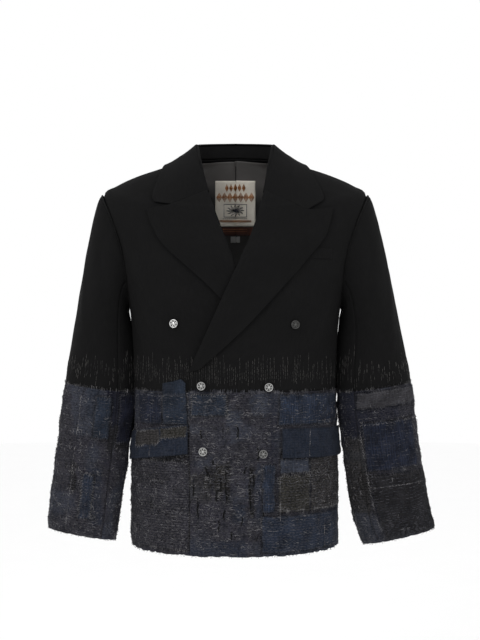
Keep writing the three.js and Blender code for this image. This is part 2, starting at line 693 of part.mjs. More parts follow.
// A cast button with a rounded rim and a shank that stands on the cloth.
function addButton(name, x, z, side) {
  const { radius, height, shank, stand } = BUTTON;
  const profile = [
    [0, 0],
    [shank, 0],
    [shank, stand],
    [0.86 * radius, stand + 0.2],
    [radius, stand + 1],
    [radius, height - 0.8],
    [0.94 * radius, height],
    [0.82 * radius, height],
    [0.76 * radius, height - 0.5],
    [0, height - 0.1],
  ].map(([r, y]) => new THREE.Vector2(r, y));
  const geometry = new THREE.LatheGeometry(profile, 24);
  const [angle, v] = onFront(x, z);
  const out = bodyNormal(angle, v);
  geometry.applyQuaternion(new THREE.Quaternion().setFromUnitVectors(place(0, 1, 0), out));
  const foot = frontPoint(side, angle, v, 4 * SEAM);
  geometry.translate(foot.x, foot.y, foot.z);
  addMesh(name, STEEL, geometry);
}

// ---- Patches

// A place in a grid between its rows and columns.
function inGrid(grid, column, row) {
  const i = Math.min(Math.floor(column), grid[0].length - 2);
  const j = Math.min(Math.floor(row), grid.length - 2);
  const low = grid[j][i].clone().lerp(grid[j][i + 1], column - i);
  const high = grid[j + 1][i].clone().lerp(grid[j + 1][i + 1], column - i);
  return low.lerp(high, row - j);
}

// The two ends of a span and every grid line between them.
const stops = ([from, to]) => [from, ...range(0, 20, 20).filter((k) => k > from + 0.1 && k < to - 0.1), to];

function addPatch(name, [panel, columns, rows, look]) {
  const grid = panels[panel];
  const centre = inGrid(grid, grid[0].length / 2, grid.length / 2);
  const axis = panel.startsWith("sleeve") ? sleeveAxis(panel, centre) : place(0, 0, centre.z);
  const normals = gridNormals(grid);
  const middle = normals[grid.length >> 1][grid[0].length >> 1];
  const outward = middle.dot(centre.clone().sub(axis)) > 0 ? 1 : -1;
  const layer = (lift) => {
    const lifted = liftGrid(grid, normals, outward * lift);
    return stops(rows).map((row) => stops(columns).map((column) => inGrid(lifted, column, row)));
  };
  addWall(name, look, layer(PATCH_LIFT), layer(PATCH_LIFT + THIN));
}

// The middle of a sleeve at the height of one of its places.
function sleeveAxis(panel, centre) {
  const side = panel.includes("left") ? "left" : "right";
  const middle = sleeveRing(side, 0, 3).add(sleeveRing(side, 180, 3)).multiplyScalar(0.5);
  return middle.setZ(centre.z);
}

for (const side of Object.keys(SIDES)) {
  addFront(side, "top", topRows);
  addFront(side, "skirt", skirtRows);
  addBack(side, "top", topRows);
  addBack(side, "skirt", skirtRows);
  addSleeve(side);
  addLapel(side);
  addFlap(side);
}
addCollar();
addWelt();
addLining();
addLabels();
for (const [name, [x, z, side]] of Object.entries(BUTTONS)) addButton(name, x, z, side);
for (const [name, patch] of Object.entries(PATCHES)) addPatch(name, patch);

export default jacket;
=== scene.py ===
import functools
import math

import bmesh
import bpy
import numpy as np
from mathutils import Matrix, Vector


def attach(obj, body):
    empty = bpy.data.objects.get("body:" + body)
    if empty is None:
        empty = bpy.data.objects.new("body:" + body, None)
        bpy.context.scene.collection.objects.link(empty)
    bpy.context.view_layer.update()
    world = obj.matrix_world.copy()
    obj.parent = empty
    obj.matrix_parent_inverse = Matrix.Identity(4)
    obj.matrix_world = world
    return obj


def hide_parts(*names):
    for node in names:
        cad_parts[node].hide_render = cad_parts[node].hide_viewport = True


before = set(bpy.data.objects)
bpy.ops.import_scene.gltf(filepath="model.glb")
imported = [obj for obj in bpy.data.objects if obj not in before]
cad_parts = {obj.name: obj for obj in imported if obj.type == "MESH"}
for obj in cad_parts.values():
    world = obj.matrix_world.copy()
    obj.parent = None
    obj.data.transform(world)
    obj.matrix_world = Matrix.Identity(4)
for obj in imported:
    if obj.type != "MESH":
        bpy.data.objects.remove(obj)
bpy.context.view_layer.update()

MM = 0.001
SIDES = {"left": 1, "right": -1}
ROOT = "root"
FORWARD = (0, -1, 0)

# ---- Sizes of the jacket

CLOTH = 2.0  # wall of the jacket's own cloth
THIN = 1.0  # wall of the welt's cloth, and the depth of the lining's solid
PATCH_WALL = 0.9  # wall of an applied patch
THINNEST = 0.5  # wall of the lining and the labels
SEAM = 0.3  # gap between neighbouring pieces
LAPEL_LIFT = 4.3  # the middle of a lapel's wall above the front that it lies on
ROLL_LIFT = 1.9  # the same where the lapel rolls over
LEAF_START = 4  # how far out of the roll line a lapel's leaf starts
OVERLAP = {"lapel": 9, "skirt": 4.5, "from": 88, "to": 124}
ARMHOLE = {"top": -70, "bottom": -272, "width": 25}
ARMHOLE_STEPS = 14
SLEEVE_SEAMS = (5, 10)
BREAK_HEIGHT = -384
LINING_GAP = 2.5
LINING_BOTTOM = 3.6
LABEL = {"half": 39, "top": -28, "bottom": -114}
LABEL_STRIP = {"half": 38, "top": -116, "bottom": -132}
SIZE_TAB = {"half": 9, "top": -134, "bottom": -146}
BUTTON = {"radius": 7.5, "height": 4.8, "shank": 2.2, "stand": 2.2}
FLAP = {"inner": 80, "outer": 84, "deep": 51, "lift": 2.6}
FLAP_TOP = {"left": -483, "right": -476}
FLAP_DROP = {"left": 3, "right": 21}
WELT = {"inner": 124, "outer": 169, "top": -171, "bottom": -190}
REACH = 2.7  # millimetres round the body for each degree
SLEEVE_REACH = 1.1  # millimetres round a sleeve for each degree

# height at the side | half width | side y | front y, front z | back y, back z | squareness
BODY_RINGS = np.array([
    [-700, 188, 0, -131, -704, 130, -700, 2.4],
    [-560, 187, 0, -134, -560, 130, -560, 2.4],
    [-420, 184, 0, -134, -420, 121, -420, 2.5],
    [-300, 188, 0, -137, -300, 127, -300, 2.8],
    [-210, 204, 2, -134, -212, 133, -205, 3.0],
    [-140, 224, 4, -124, -155, 129, -128, 2.6],
    [-70, 240, 6, -108, -110, 112, -58, 2.2],
    [-50, 216, 7, -100, -98, 105, -38, 2.1],
    [-33, 179, 7, -92, -87, 98, -20, 2.0],
    [-18, 135, 8, -80, -72, 90, -6, 2.0],
    [0, 77, 8, -60, -52, 78, 9, 2.0],
])
JOIN = 2
NECK = len(BODY_RINGS) - 1
DROP = 1.6
# Soft folds of the body: angle and height at each end, half width, height of the ridge.
FOLDS = [
    (-58, -120, -28, -350, 17, 5), (-44, -330, -20, -400, 15, -3),
    (44, -325, 18, -385, 18, 4), (70, -300, 50, -360, 16, -3.5),
    (-72, -300, -55, -370, 16, -3.5), (132, -150, 160, -330, 20, 4),
    (-132, -150, -160, -330, 20, 4), (112, -320, 150, -400, 18, -3.5),
    (-112, -320, -150, -400, 18, -3.5), (120, -640, 128, -460, 24, 4),
    (-126, -640, -120, -460, 24, 4),
]
# Finer creases of the same kind: drag lines to the waist button, at the armholes, the waist and the seat.
CREASES = [
    (-66, -200, -30, -372, 7, 1.8), (-60, -235, -38, -395, 6, -1.6),
    (-50, -160, -30, -255, 7, 1.4), (-36, -300, -16, -392, 5, 1.4),
    (62, -215, 40, -372, 7, 1.5), (54, -260, 30, -392, 6, -1.5),
    (40, -240, 22, -330, 6, 1.2), (76, -230, 66, -330, 7, -1.8),
    (-76, -230, -68, -330, 7, -1.8), (80, -330, 58, -420, 8, 1.4),
    (-80, -330, -60, -420, 8, 1.4), (64, -110, 72, -190, 8, 1.3),
    (-64, -110, -72, -190, 8, 1.3), (118, -190, 150, -300, 7, 1.7),
    (-118, -190, -150, -300, 7, 1.7), (106, -260, 140, -350, 6, -1.6),
    (-106, -260, -140, -350, 6, -1.6), (150, -340, 176, -372, 7, 1.5),
    (-150, -340, -176, -372, 7, 1.5), (128, -400, 172, -392, 8, -1.5),
    (-128, -400, -172, -392, 8, -1.5), (160, -90, 176, -170, 9, 1.2),
    (-160, -90, -176, -170, 9, 1.2), (100, -560, 108, -690, 9, 1.8),
    (-98, -540, -110, -690, 9, 1.8), (20, -600, 24, -700, 9, 1.4),
    (-52, -580, -56, -704, 9, 1.6), (48, -570, 52, -704, 10, -1.3),
    (-20, -560, -18, -700, 8, -1.2), (150, -560, 146, -700, 10, -1.8),
    (-152, -540, -148, -700, 10, -1.8),
]
# Front edge: height at the side, distance past the centre line.
FRONT_EDGE = {
    "left": [
        (-700, -77), (-400, -77), (-384, -72), (-362, -58), (-290, -27),
        (-205, 11), (-152, 29), (-75, 50), (-35, 61), (0, 70),
    ],
    "right": [
        (-700, -77), (-400, -77), (-384, -72), (-362, -58), (-290, -29),
        (-205, 5), (-152, 21), (-75, 45), (-35, 60), (0, 70),
    ],
}
LAPEL = {
    "left": {
        "roll": [(52, -72), (26, -155), (-22, -261), (-77, -386)],
        "notch": (125, -106),
        "edge": [(172, -99), (163, -133), (148, -163), (85, -235), (19, -308), (-62, -383)],
    },
    "right": {
        "roll": [(48, -72), (17, -155), (-24, -261), (-77, -386)],
        "notch": (112, -96),
        "edge": [(155, -103), (140, -140), (117, -173), (45, -238), (-10, -300), (-62, -383)],
    },
}
COLLAR = {
    "fold": [(0, 82, 36), (46, 66, 33), (68, 25, 26), (69, -10, 18), (61, -52, -20)],
    "edge": [(180, -29), (150, -26), (118, -19), (92, -15)],
    "left": [(142, -43), (155, -88)],
    "right": [(137, -43), (141, -91)],
    "bend": 2.8,
    "neck_share": 0.7,
}
# centre x, y, z | half width across, half width front to back | tilt in degrees
SLEEVE_RINGS = {
    "left": [(247, -14, -320, 54, 72, 12), (252, -24, -417, 67, 58, 8), (263, -32, -526, 69, 50, 7),
             (279, -38, -633, 69, 40, 9), (294, -40, -683, 66, 32, 12.5)],
    "right": [(240, -14, -320, 53, 70, 12), (246, -22, -417, 62, 57, 8), (257, -30, -526, 64, 49, 6),
              (270, -36, -633, 64, 40, 8), (275, -38, -679, 62, 32, 10.5)],
}
SLEEVE_JOIN = 2
CUFF = 5
SLEEVE_HEAD = {"under": 14, "top": 24}
# Creases of a sleeve: turn from the outer side by the front, and height, at each end; half width; ridge.
SLEEVE_CREASES = {
    "left": [
        (20, -170, 60, -330, 9, 2.2), (50, -150, 95, -250, 8, -1.8), (100, -300, 60, -390, 9, 1.8),
        (130, -380, 70, -440, 8, 2.0), (60, -430, 120, -470, 7, -1.6), (110, -500, 40, -540, 9, 1.8),
        (30, -560, 100, -600, 8, -1.6), (90, -600, 50, -670, 9, 1.6), (-60, -200, -110, -330, 10, 2.2),
        (-50, -400, -120, -430, 9, 2.2), (-70, -470, -130, -520, 9, -1.8), (-40, -560, -110, -610, 9, 1.8),
        (-150, -250, -170, -330, 9, -2.0), (180, -190, 182, -450, 34, 8.2),
    ],
    "right": [
        (24, -180, 58, -320, 9, 2.2), (48, -150, 92, -240, 8, -1.8), (104, -290, 62, -370, 9, 1.8),
        (126, -390, 64, -450, 8, 2.2), (50, -450, 110, -490, 7, -1.8), (100, -520, 40, -560, 9, 2.0),
        (20, -590, 96, -620, 8, -1.6), (80, -620, 44, -670, 9, 1.6), (-60, -210, -112, -340, 10, 2.2),
        (-46, -390, -118, -440, 9, 2.2), (-72, -480, -126, -540, 9, -1.8), (-42, -580, -112, -620, 9, 1.8),
        (-150, -250, -170, -330, 9, -2.0), (180, -255, 182, -540, 34, 8.5),
    ],
}
BUTTONS = {
    "button_chest_right": (-104, -302, "right"),
    "button_chest_left": (102, -304, "left"),
    "button_waist_inner": (-56, -409, "left"),
    "button_waist_outer": (57, -411, "left"),
    "button_hip_inner": (-53.5, -522, "left"),
    "button_hip_outer": (48, -526, "left"),
}

# ---- Dyes, as linear colours

CHARCOAL = (0.0150, 0.0146, 0.0198)
LILAC = (0.0185, 0.0180, 0.0252)
INDIGO = (0.0115, 0.0162, 0.0280)
DEEP = (0.0078, 0.0100, 0.0182)
NAVY = (0.0052, 0.0062, 0.0128)
BLUE = (0.0120, 0.0170, 0.0275)
BLUE_GREY = (0.0262, 0.0312, 0.0450)
OLIVE = (0.0155, 0.0146, 0.0125)
BROWN = (0.0160, 0.0148, 0.0150)
STONE = (0.0300, 0.0292, 0.0332)
# Near-black: painted shade inside the worn holes and slits of the ground, and on its darkest places
SHADE_BLACK = (0.0025, 0.0024, 0.0026)
DARK = (0.0092, 0.0091, 0.0105)

# Applied patches: the panel, the columns and rows that they cover, the dye, and how worn they are.
PATCHES = {
    "patch_front_left_blue": ("front_left_skirt", (0.1, 1.6), (5.1, 5.9), BLUE, 0.5),
    "patch_front_left_striped": ("front_left_skirt", (3.6, 8.8), (4.75, 5.9), INDIGO, 0.15),
    "patch_front_left_pocket": ("front_left_skirt", (3.7, 5.4), (3, 3.5), BLUE_GREY, 0.4),
    "patch_front_left_brown": ("front_left_skirt", (5.6, 9), (1.6, 3.5), BROWN, 0.8),
    "patch_front_left_olive": ("front_left_skirt", (3.6, 5.45), (1.6, 2.9), OLIVE, 0.6),
    "patch_front_left_strip": ("front_left_skirt", (2.85, 3.4), (1.6, 3.3), INDIGO, 0.3),
    "patch_front_left_hem": ("front_left_skirt", (2.8, 8.4), (0.15, 1.45), INDIGO, 0.25),
    "patch_front_right_blue": ("front_right_skirt", (3.8, 5.3), (4.75, 5.9), BLUE, 0.2),
    "patch_front_right_navy": ("front_right_skirt", (5.4, 7.6), (4.75, 5.9), DEEP, 0.2),
    "patch_front_right_charcoal": ("front_right_skirt", (3.7, 9.4), (0.2, 3.4), CHARCOAL, 0.9),
    "patch_flap_right_charcoal": ("flap_right", (2.1, 4.9), (0.9, 1.9), BROWN, 0.5),
    "patch_flap_right_olive": ("flap_right", (0.1, 2), (1.2, 1.9), OLIVE, 0.7),
    "patch_back_left_navy": ("back_left_skirt", (1, 4.4), (2.4, 5.4), INDIGO, 0.3),
    "patch_back_left_charcoal": ("back_left_skirt", (4.7, 7.7), (0.6, 3.2), OLIVE, 0.7),
    "patch_back_right_blue": ("back_right_skirt", (3.4, 7.5), (3.2, 5.7), BLUE, 0.4),
    "patch_back_right_navy": ("back_right_skirt", (0.8, 4.2), (0.4, 2.6), INDIGO, 0.3),
    "patch_sleeve_left_band": ("sleeve_left_top_lower", (4.2, 8.8), (0.1, 0.62), STONE, 0.3),
    "patch_sleeve_left_navy": ("sleeve_left_top_lower", (5.3, 8.6), (1.1, 2.6), DEEP, 0.15),
    "patch_sleeve_left_charcoal": ("sleeve_left_top_lower", (4.2, 8.4), (2.75, 5.8), DARK, 0.2),
    "patch_sleeve_left_back": ("sleeve_left_top_lower", (0.4, 3.3), (2.2, 4.7), INDIGO, 0.4),
    "patch_sleeve_right_blue": ("sleeve_right_top_lower", (7.6, 8.6), (0.25, 1.6), BLUE, 0.3),
    "patch_sleeve_right_navy": ("sleeve_right_under_lower", (0.2, 1.6), (0.1, 1.7), NAVY, 0.15),
    "patch_sleeve_right_strip": ("sleeve_right_top_lower", (7.3, 8), (2.75, 4.4), INDIGO, 0.6),
    "patch_sleeve_right_back": ("sleeve_right_top_lower", (0.5, 3.4), (0.8, 3), CHARCOAL, 0.5),
}

# ---- Curves and numbers


def lerp(start, end, share):
    return start + (end - start) * share


def smoothstep(x, low, high):
    share = np.clip((x - low) / (high - low), 0, 1)
    return share * share * (3 - 2 * share)


def stack(*parts):
    return np.stack(np.broadcast_arrays(*parts), -1)


def unit(vectors):
    return vectors / np.linalg.norm(vectors, axis=-1, keepdims=True)


def curve_between(before, start, end, after, share):
    """A smooth curve from start to end, which bends towards its two neighbours."""
    slope, slope_end = (end - before) / 2, (after - start) / 2
    bend = 3 * (end - start) - 2 * slope - slope_end
    twist = 2 * (start - end) + slope + slope_end
    return start + share * (slope + share * (bend + share * twist))


def along(rows, t):
    """The values at t on the smooth curve through rows that stand one unit apart."""
    rows = np.asarray(rows, float)
    t = np.asarray(t, float)
    guard = np.vstack([2 * rows[0] - rows[1], rows, 2 * rows[-1] - rows[-2]])
    i = np.clip(np.floor(t), 0, len(rows) - 2).astype(int)
    return curve_between(*(guard[i + k] for k in range(4)), (t - i)[..., None])


def through(knots, t):
    """The place at t on the smooth curve through arrays of places, one unit apart."""
    guard = [2 * knots[0] - knots[1], *knots, 2 * knots[-1] - knots[-2]]
    i = int(min(max(math.floor(t), 0), len(knots) - 2))
    return curve_between(*guard[i : i + 4], t - i)


def solve(rising, value, low, high):
    """Where a rising function reaches each value."""
    value = np.asarray(value, float)
    low = np.full(value.shape, float(low))
    high = np.full(value.shape, float(high))
    for _ in range(26):
        middle = (low + high) / 2
        under = rising(middle) < value
        low = np.where(under, middle, low)
        high = np.where(under, high, middle)
    return (low + high) / 2


def ripple(s, t, wave, seed):
    """A soft random relief between about -1 and 1, with waves of about that length."""
    rng = np.random.default_rng(seed)
    total = 0
    for _ in range(7):
        turn, phase = rng.uniform(0, math.tau, 2)
        number = math.tau / (wave * rng.uniform(0.7, 1.6))
        total = total + np.cos(number * (s * math.cos(turn) + t * math.sin(turn)) + phase)
    return total / 3.2


def ridges(creases, s_scale, s, z):
    """The lift of a list of soft ridges and troughs at places round and up the cloth."""
    total = 0
    for start_s, start_z, end_s, end_z, width, lift in creases:
        origin = np.array([start_s * s_scale, start_z])
        run = np.array([end_s * s_scale, end_z]) - origin
        offset = stack(s, z) - origin
        share = np.clip(offset @ run / (run @ run), 0, 1)
        fade = np.sin(np.pi * np.clip(share, 0.08, 0.92))
        gap = ((offset - share[..., None] * run) ** 2).sum(-1)
        total = total + lift * fade * np.exp(-gap / width**2)
    return total


# ---- The body's form


def body_form(angle, v):
    """The body's outer surface at an angle from the front by way of the wearer's left, on ring v."""
    angle = (np.asarray(angle, float) + 180) % 360 - 180
    ring = np.moveaxis(along(BODY_RINGS, v), -1, 0)
    height, half, side_y, front_y, front_z, back_y, back_z, square = ring
    sine, cosine = np.sin(np.radians(angle)), np.cos(np.radians(angle))
    toward = np.abs(cosine) ** (2 / square)
    front = cosine > 0
    x = half * np.sign(sine) * np.abs(sine) ** (2 / square)
    y = lerp(side_y, np.where(front, front_y, back_y), toward)
    z = lerp(height, np.where(front, front_z, back_z), toward**DROP)
    out = ridges(FOLDS + CREASES, REACH, angle * REACH, z)
    flat = np.hypot(x, y)
    return stack(x + out * x / flat, y + out * y / flat, z)


def body_normal(angle, v):
    across = body_form(angle + 0.5, v) - body_form(angle - 0.5, v)
    up = body_form(angle, np.minimum(v + 0.03, NECK)) - body_form(angle, np.maximum(v - 0.03, 0))
    return unit(np.cross(across, up))


def angle_at(x, v):
    ring = along(BODY_RINGS, v)
    share = np.clip(x / ring[..., 1], -1, 1)
    return np.degrees(np.arcsin(np.sign(share) * np.abs(share) ** (ring[..., 7] / 2)))


def on_front(x, z):
    x, z = np.broadcast_arrays(np.asarray(x, float), np.asarray(z, float))
    v = solve(lambda u: body_form(angle_at(x, u), u)[..., 2], z, 0, NECK)
    return angle_at(x, v), v


def ring_at(angle, z):
    angle, z = np.broadcast_arrays(np.asarray(angle, float), np.asarray(z, float))
    return solve(lambda u: body_form(angle, u)[..., 2], z, 0, NECK)


def front_layer(side, x, z):
    """How far a front stands out of the body's form: the left front lies over the right one."""
    if side == "right":
        return 0 * x
    full = lerp(OVERLAP["skirt"], OVERLAP["lapel"], smoothstep(z, -440, -385))
    return full * (1 - smoothstep(x, OVERLAP["from"], OVERLAP["to"])) * (1 - smoothstep(z, -195, -145))


def lumps(s, z, seed):
    """Small unevenness of the cloth: slight on the black cloth, stronger on the patchwork."""
    worn = 1 - smoothstep(z, -424, -412)
    return (0.25 + 0.7 * worn) * ripple(s, z, 34, seed) + 0.5 * worn * ripple(s, z, 13, seed + 1)


def front_point(side, angle, v, lift):
    form = body_form(angle, v)
    out = lift + front_layer(side, form[..., 0], form[..., 2]) + lumps(angle * REACH, form[..., 2], 3)
    return form + body_normal(angle, v) * np.asarray(out)[..., None]


def on_front_panel(side, out, z, lift):
    angle, v = on_front(SIDES[side] * np.asarray(out, float), z)
    return front_point(side, angle, v, lift)


def back_point(angle, v, lift):
    form = body_form(angle, v)
    even = smoothstep(180 - np.abs(angle), 0, 14)
    rough = lumps(angle * REACH, form[..., 2], 3) * even
    return form + body_normal(angle, v) * np.asarray(lift + rough)[..., None]


ARMHOLE_LOW = float(ring_at(90, ARMHOLE["bottom"]))
ARMHOLE_HIGH = float(ring_at(90, ARMHOLE["top"]))
ARMHOLE_MIDDLE = (ARMHOLE_LOW + ARMHOLE_HIGH) / 2
ARMHOLE_HALF = (ARMHOLE_HIGH - ARMHOLE_LOW) / 2


def armhole(turn):
    """Angle and ring of the armhole at a turn in degrees from its top by way of the front."""
    turn = np.radians(turn)
    return 90 - ARMHOLE["width"] * np.sin(turn), ARMHOLE_MIDDLE + ARMHOLE_HALF * np.cos(turn)


def armhole_width(v):
    share = np.clip((v - ARMHOLE_MIDDLE) / ARMHOLE_HALF, -1, 1)
    return ARMHOLE["width"] * np.sqrt(1 - share**2)


def edge_angle(side, v):
    heights, outs = zip(*FRONT_EDGE[side])
    return angle_at(np.interp(along(BODY_RINGS, v)[..., 0], heights, outs), v)


def edge_ring(side, z):
    sign = SIDES[side]
    return float(solve(lambda v: body_form(sign * edge_angle(side, v), v)[..., 2], z, 0, NECK))


SKIRT_ROWS = np.linspace(0, JOIN, 7)
BREAK_RING = edge_ring("left", BREAK_HEIGHT)
GORGE_RING = edge_ring("left", LAPEL["left"]["roll"][0][1])
TOP_ROWS = np.concatenate([
    [JOIN],
    np.linspace(BREAK_RING, ARMHOLE_LOW, 4)[:-1],
    armhole(np.linspace(180, 0, ARMHOLE_STEPS // 2 + 1))[1],
    np.linspace(ARMHOLE_HIGH, GORGE_RING, 3)[1:],
    np.linspace(GORGE_RING, NECK, 3)[1:],
])

# ---- Panels: each is a function of column, row and lift that gives a place


def front_panel(side, rows):
    def place(column, row, lift):
        v = np.interp(row, range(len(rows)), rows)
        angle = lerp(edge_angle(side, v), 90 - armhole_width(v), column / 10)
        return front_point(side, SIDES[side] * angle, v, lift)

    return place


def back_panel(side, rows):
    def place(column, row, lift):
        v = np.interp(row, range(len(rows)), rows)
        angle = lerp(90 + armhole_width(v), 180, column / 8)
        return back_point(SIDES[side] * angle, v, lift)

    return place


def sleeve_ring(side, turn, w):
    x, y, z, across, deep, tilt = np.moveaxis(along(SLEEVE_RINGS[side], w - 1), -1, 0)
    out = (across - CLOTH) * np.cos(np.radians(turn))
    lean = np.radians(tilt)
    return stack(
        SIDES[side] * (x + out * np.cos(lean)),
        y - (deep - CLOTH) * np.sin(np.radians(turn)),
        z + out * np.sin(lean),
    )


def sleeve_form(side, turn, w):
    """A sleeve's inner surface, w rings below the armhole.

    The turn is from the sleeve's outer side, by way of its front.
    """
    turn, w = np.broadcast_arrays(np.asarray(turn, float), np.asarray(w, float))
    ring = sleeve_ring(side, turn, np.maximum(w, 1))
    first = sleeve_ring(side, turn, np.ones_like(w))
    angle, v = armhole(turn)
    angle = SIDES[side] * angle
    normal = body_normal(angle, v)
    start = body_form(angle, v) + 3 * SEAM * normal
    cosine = np.cos(np.radians(turn))
    fall = stack(0 * cosine, 0 * cosine, -0.3 - 0.7 * np.maximum(cosine, 0))
    stand = lerp(SLEEVE_HEAD["under"], SLEEVE_HEAD["top"], (1 + cosine) / 2)[..., None]
    leave = start + unit(normal + fall) * stand
    down = unit(sleeve_ring(side, turn, np.full_like(w, 1.2)) - first)
    arrive = first - 0.4 * down * np.linalg.norm(first - start, axis=-1, keepdims=True)
    t = np.clip(w, 0, 1)[..., None]
    curve = (1 - t) ** 3 * start + 3 * t * (1 - t) ** 2 * leave + 3 * t**2 * (1 - t) * arrive + t**3 * first
    return np.where((w >= 1)[..., None], ring, curve)


def sleeve_point(side, turn, w, lift):
    form = sleeve_form(side, turn, w)
    across = sleeve_form(side, turn + 2, w) - sleeve_form(side, turn - 2, w)
    lower, upper = np.minimum(w + 0.03, CUFF), np.maximum(w - 0.03, 0)
    down = sleeve_form(side, turn, lower) - sleeve_form(side, turn, upper)
    normal = SIDES[side] * unit(np.cross(across, down))
    wrapped = (np.asarray(turn) + 180) % 360 - 180
    z = form[..., 2]
    fade = smoothstep(w, 0.1, 0.5)
    rounds = [(wrapped + once) * SLEEVE_REACH for once in (-360, 0, 360)]
    crease = sum(ridges(SLEEVE_CREASES[side], SLEEVE_REACH, s, z) for s in rounds)
    rough = lumps(form[..., 0] + 1.4 * form[..., 1], z, 9 if side == "left" else 17)
    head = 2.0 * np.maximum(np.cos(np.radians(turn)), 0) * np.exp(-((w / 0.22) ** 2))
    return form + normal * (lift + head + (crease + rough) * fade)[..., None]


def sleeve_panel(side, first_step, rings):
    step = 360 / ARMHOLE_STEPS

    def place(column, row, lift):
        w = np.interp(row, range(len(rings)), rings)
        return sleeve_point(side, (first_step + column) * step, w, lift + CLOTH)

    return place


def flap_panel(side):
    def place(column, row, lift):
        z = FLAP_TOP[side] - FLAP["deep"] * (1 - row / 2)
        start = np.abs(on_front(SIDES[side] * FLAP["inner"] + 0 * z, z)[0])
        angle = SIDES[side] * lerp(start, FLAP["outer"], column / 7)
        stand = FLAP["lift"] + CLOTH + lerp(1.4, -1.0, row / 2)
        return front_point(side, angle, ring_at(angle, z - FLAP_DROP[side] * column / 7), lift + stand)

    return place


def leaf_spot(start, notch, end, share, k):
    """A place in the front view on a leaf of a lapel or collar, drawn through the notch by a share."""
    near, far = k / 3, (k - 3) / 2
    bent = lerp(start, notch, near) if k < 3 else lerp(notch, end, far)
    return lerp(lerp(start, end, k / 5), bent, share)


ROLL_STOPS = np.linspace(0, 3, 13)
LEAF_STOPS = np.linspace(0, 5, 31)[1:]


def lapel_grid(side, v):
    """Rows from the gorge down to the break: from the front's edge round the roll and out over the leaf."""
    sign = SIDES[side]
    roll, edge = np.array(LAPEL[side]["roll"], float), np.array(LAPEL[side]["edge"], float)
    angle = edge_angle(side, v)
    border = body_form(sign * angle, v)
    share = np.clip(solve(lambda u: -along(roll, u * 3)[..., 1], -border[..., 2], 0, 1), 0, 1)
    rolled = along(roll, share * 3)
    tip = along(edge, share * (len(edge) - 1))
    start = rolled + [LEAF_START, 0]
    notch = np.array(LAPEL[side]["notch"], float) + 0 * start
    bent = ((1 - share) ** 6)[:, None]

    def leaf(k):
        spot = leaf_spot(start, notch, tip, bent, k)
        soft = 1.3 * math.exp(-((k / 1.3) ** 2)) + 0.5 * (k / 5) ** 3
        lift = LAPEL_LIFT + soft * np.minimum(1, 6 * (1 - share))
        return on_front_panel(side, spot[:, 0], spot[:, 1], lift)

    middle = lerp(sign * border[..., 0], rolled[..., 0], 0.6)
    knots = [
        front_point(side, sign * (angle - 0.15), v, -CLOTH / 2),
        on_front_panel(side, middle, rolled[..., 1], -0.2),
        on_front_panel(side, rolled[..., 0], rolled[..., 1], ROLL_LIFT),
        leaf(0),
        leaf(1),
    ]
    return np.stack([through(knots, c) for c in ROLL_STOPS] + [leaf(k) for k in LEAF_STOPS], axis=1)


def collar_line(side, u):
    sign = SIDES[side]
    share = COLLAR["neck_share"]
    gorge = LAPEL[side]["roll"][0]
    neck_angle = float(edge_angle(side, float(NECK)))
    past = np.maximum(u - share, 0) / (1 - share)
    seam_ring = lerp(NECK, GORGE_RING, past)
    seam_angle = np.where(u < share, lerp(180, neck_angle, u / share), edge_angle(side, seam_ring))
    seam = body_form(sign * seam_angle, seam_ring)
    last = on_front_panel(side, gorge[0], gorge[1] + 2 * SEAM, ROLL_LIFT)
    fold = along([*COLLAR["fold"], (abs(last[0]), last[1], last[2])], u * 5) * np.array([sign, 1, 1])
    gorge_angle, ring = on_front(sign * gorge[0], gorge[1])
    ground = stack(lerp(sign * seam_angle, gorge_angle, past**2), lerp(seam_ring, ring, past**2))
    return seam, fold, ground


def collar_edge(side, u):
    sign = SIDES[side]
    back = [(sign * angle, float(ring_at(sign * angle, z))) for angle, z in COLLAR["edge"]]
    front = [tuple(float(k) for k in on_front(sign * out, z)) for out, z in COLLAR[side]]
    return along([*back, *front], u * (len(back) + len(front) - 1))


def fold_axes(side, u):
    seam, fold, ground = collar_line(side, u)
    tangent = collar_line(side, np.minimum(u + 0.02, 1))[1] - collar_line(side, np.maximum(u - 0.02, 0))[1]
    rise = unit(fold - seam)
    out = -SIDES[side] * unit(np.cross(tangent, rise))
    return out, rise, seam, fold, ground


def collar_grid(side, u):
    out, rise, _, fold, ground = fold_axes(side, u)
    edge = collar_edge(side, u)
    bend = COLLAR["bend"]
    u_column = u[:, None]

    def on_body(share):
        spot = lerp(ground, edge, share)
        lift = np.full(len(u), LAPEL_LIFT * min(1, 2 * share))
        angle, v = spot.T
        return body_form(angle, v) + body_normal(angle, v) * lift[:, None]

    lifted = fold + bend * out - on_body(0)
    start = np.array(LAPEL[side]["roll"][0], float) + [LEAF_START, 0]
    notch = np.array(LAPEL[side]["notch"], float)
    corner = np.array(COLLAR[side][1], float)

    def leaf(k):
        share = k / 5
        free = on_body(share) + lifted * (1 - share) ** 1.7
        spot = leaf_spot(start, notch, corner, 1, k)
        end = on_front_panel(side, spot[0], spot[1] + 2 * SEAM, LAPEL_LIFT)
        return lerp(free, end, u_column**14)

    turns = [math.radians(turn) for turn in (20, 75, 125)]
    knots = [fold - bend * math.cos(turn) * out + 0.6 * bend * math.sin(turn) * rise for turn in turns]
    knots += [leaf(0), leaf(1)]
    return np.stack([through(knots, c) for c in ROLL_STOPS] + [leaf(k) for k in LEAF_STOPS], axis=1)


def stand_grid(side, u):
    _, rise, seam, fold, _ = fold_axes(side, u)
    low = seam + 3 * SEAM * rise
    high = fold - CLOTH * rise
    return np.stack([lerp(low, high, k) for k in np.linspace(0, 1, 9)], axis=1)


def both_sides(grid_of, steps):
    """Rows from the gorge of the wearer's right, round the back, to the gorge of the left."""
    shares = 1 - (1 - np.linspace(0, 1, steps + 1)) ** 1.15
    return np.concatenate([grid_of("right", shares[::-1]), grid_of("left", shares[1:])])


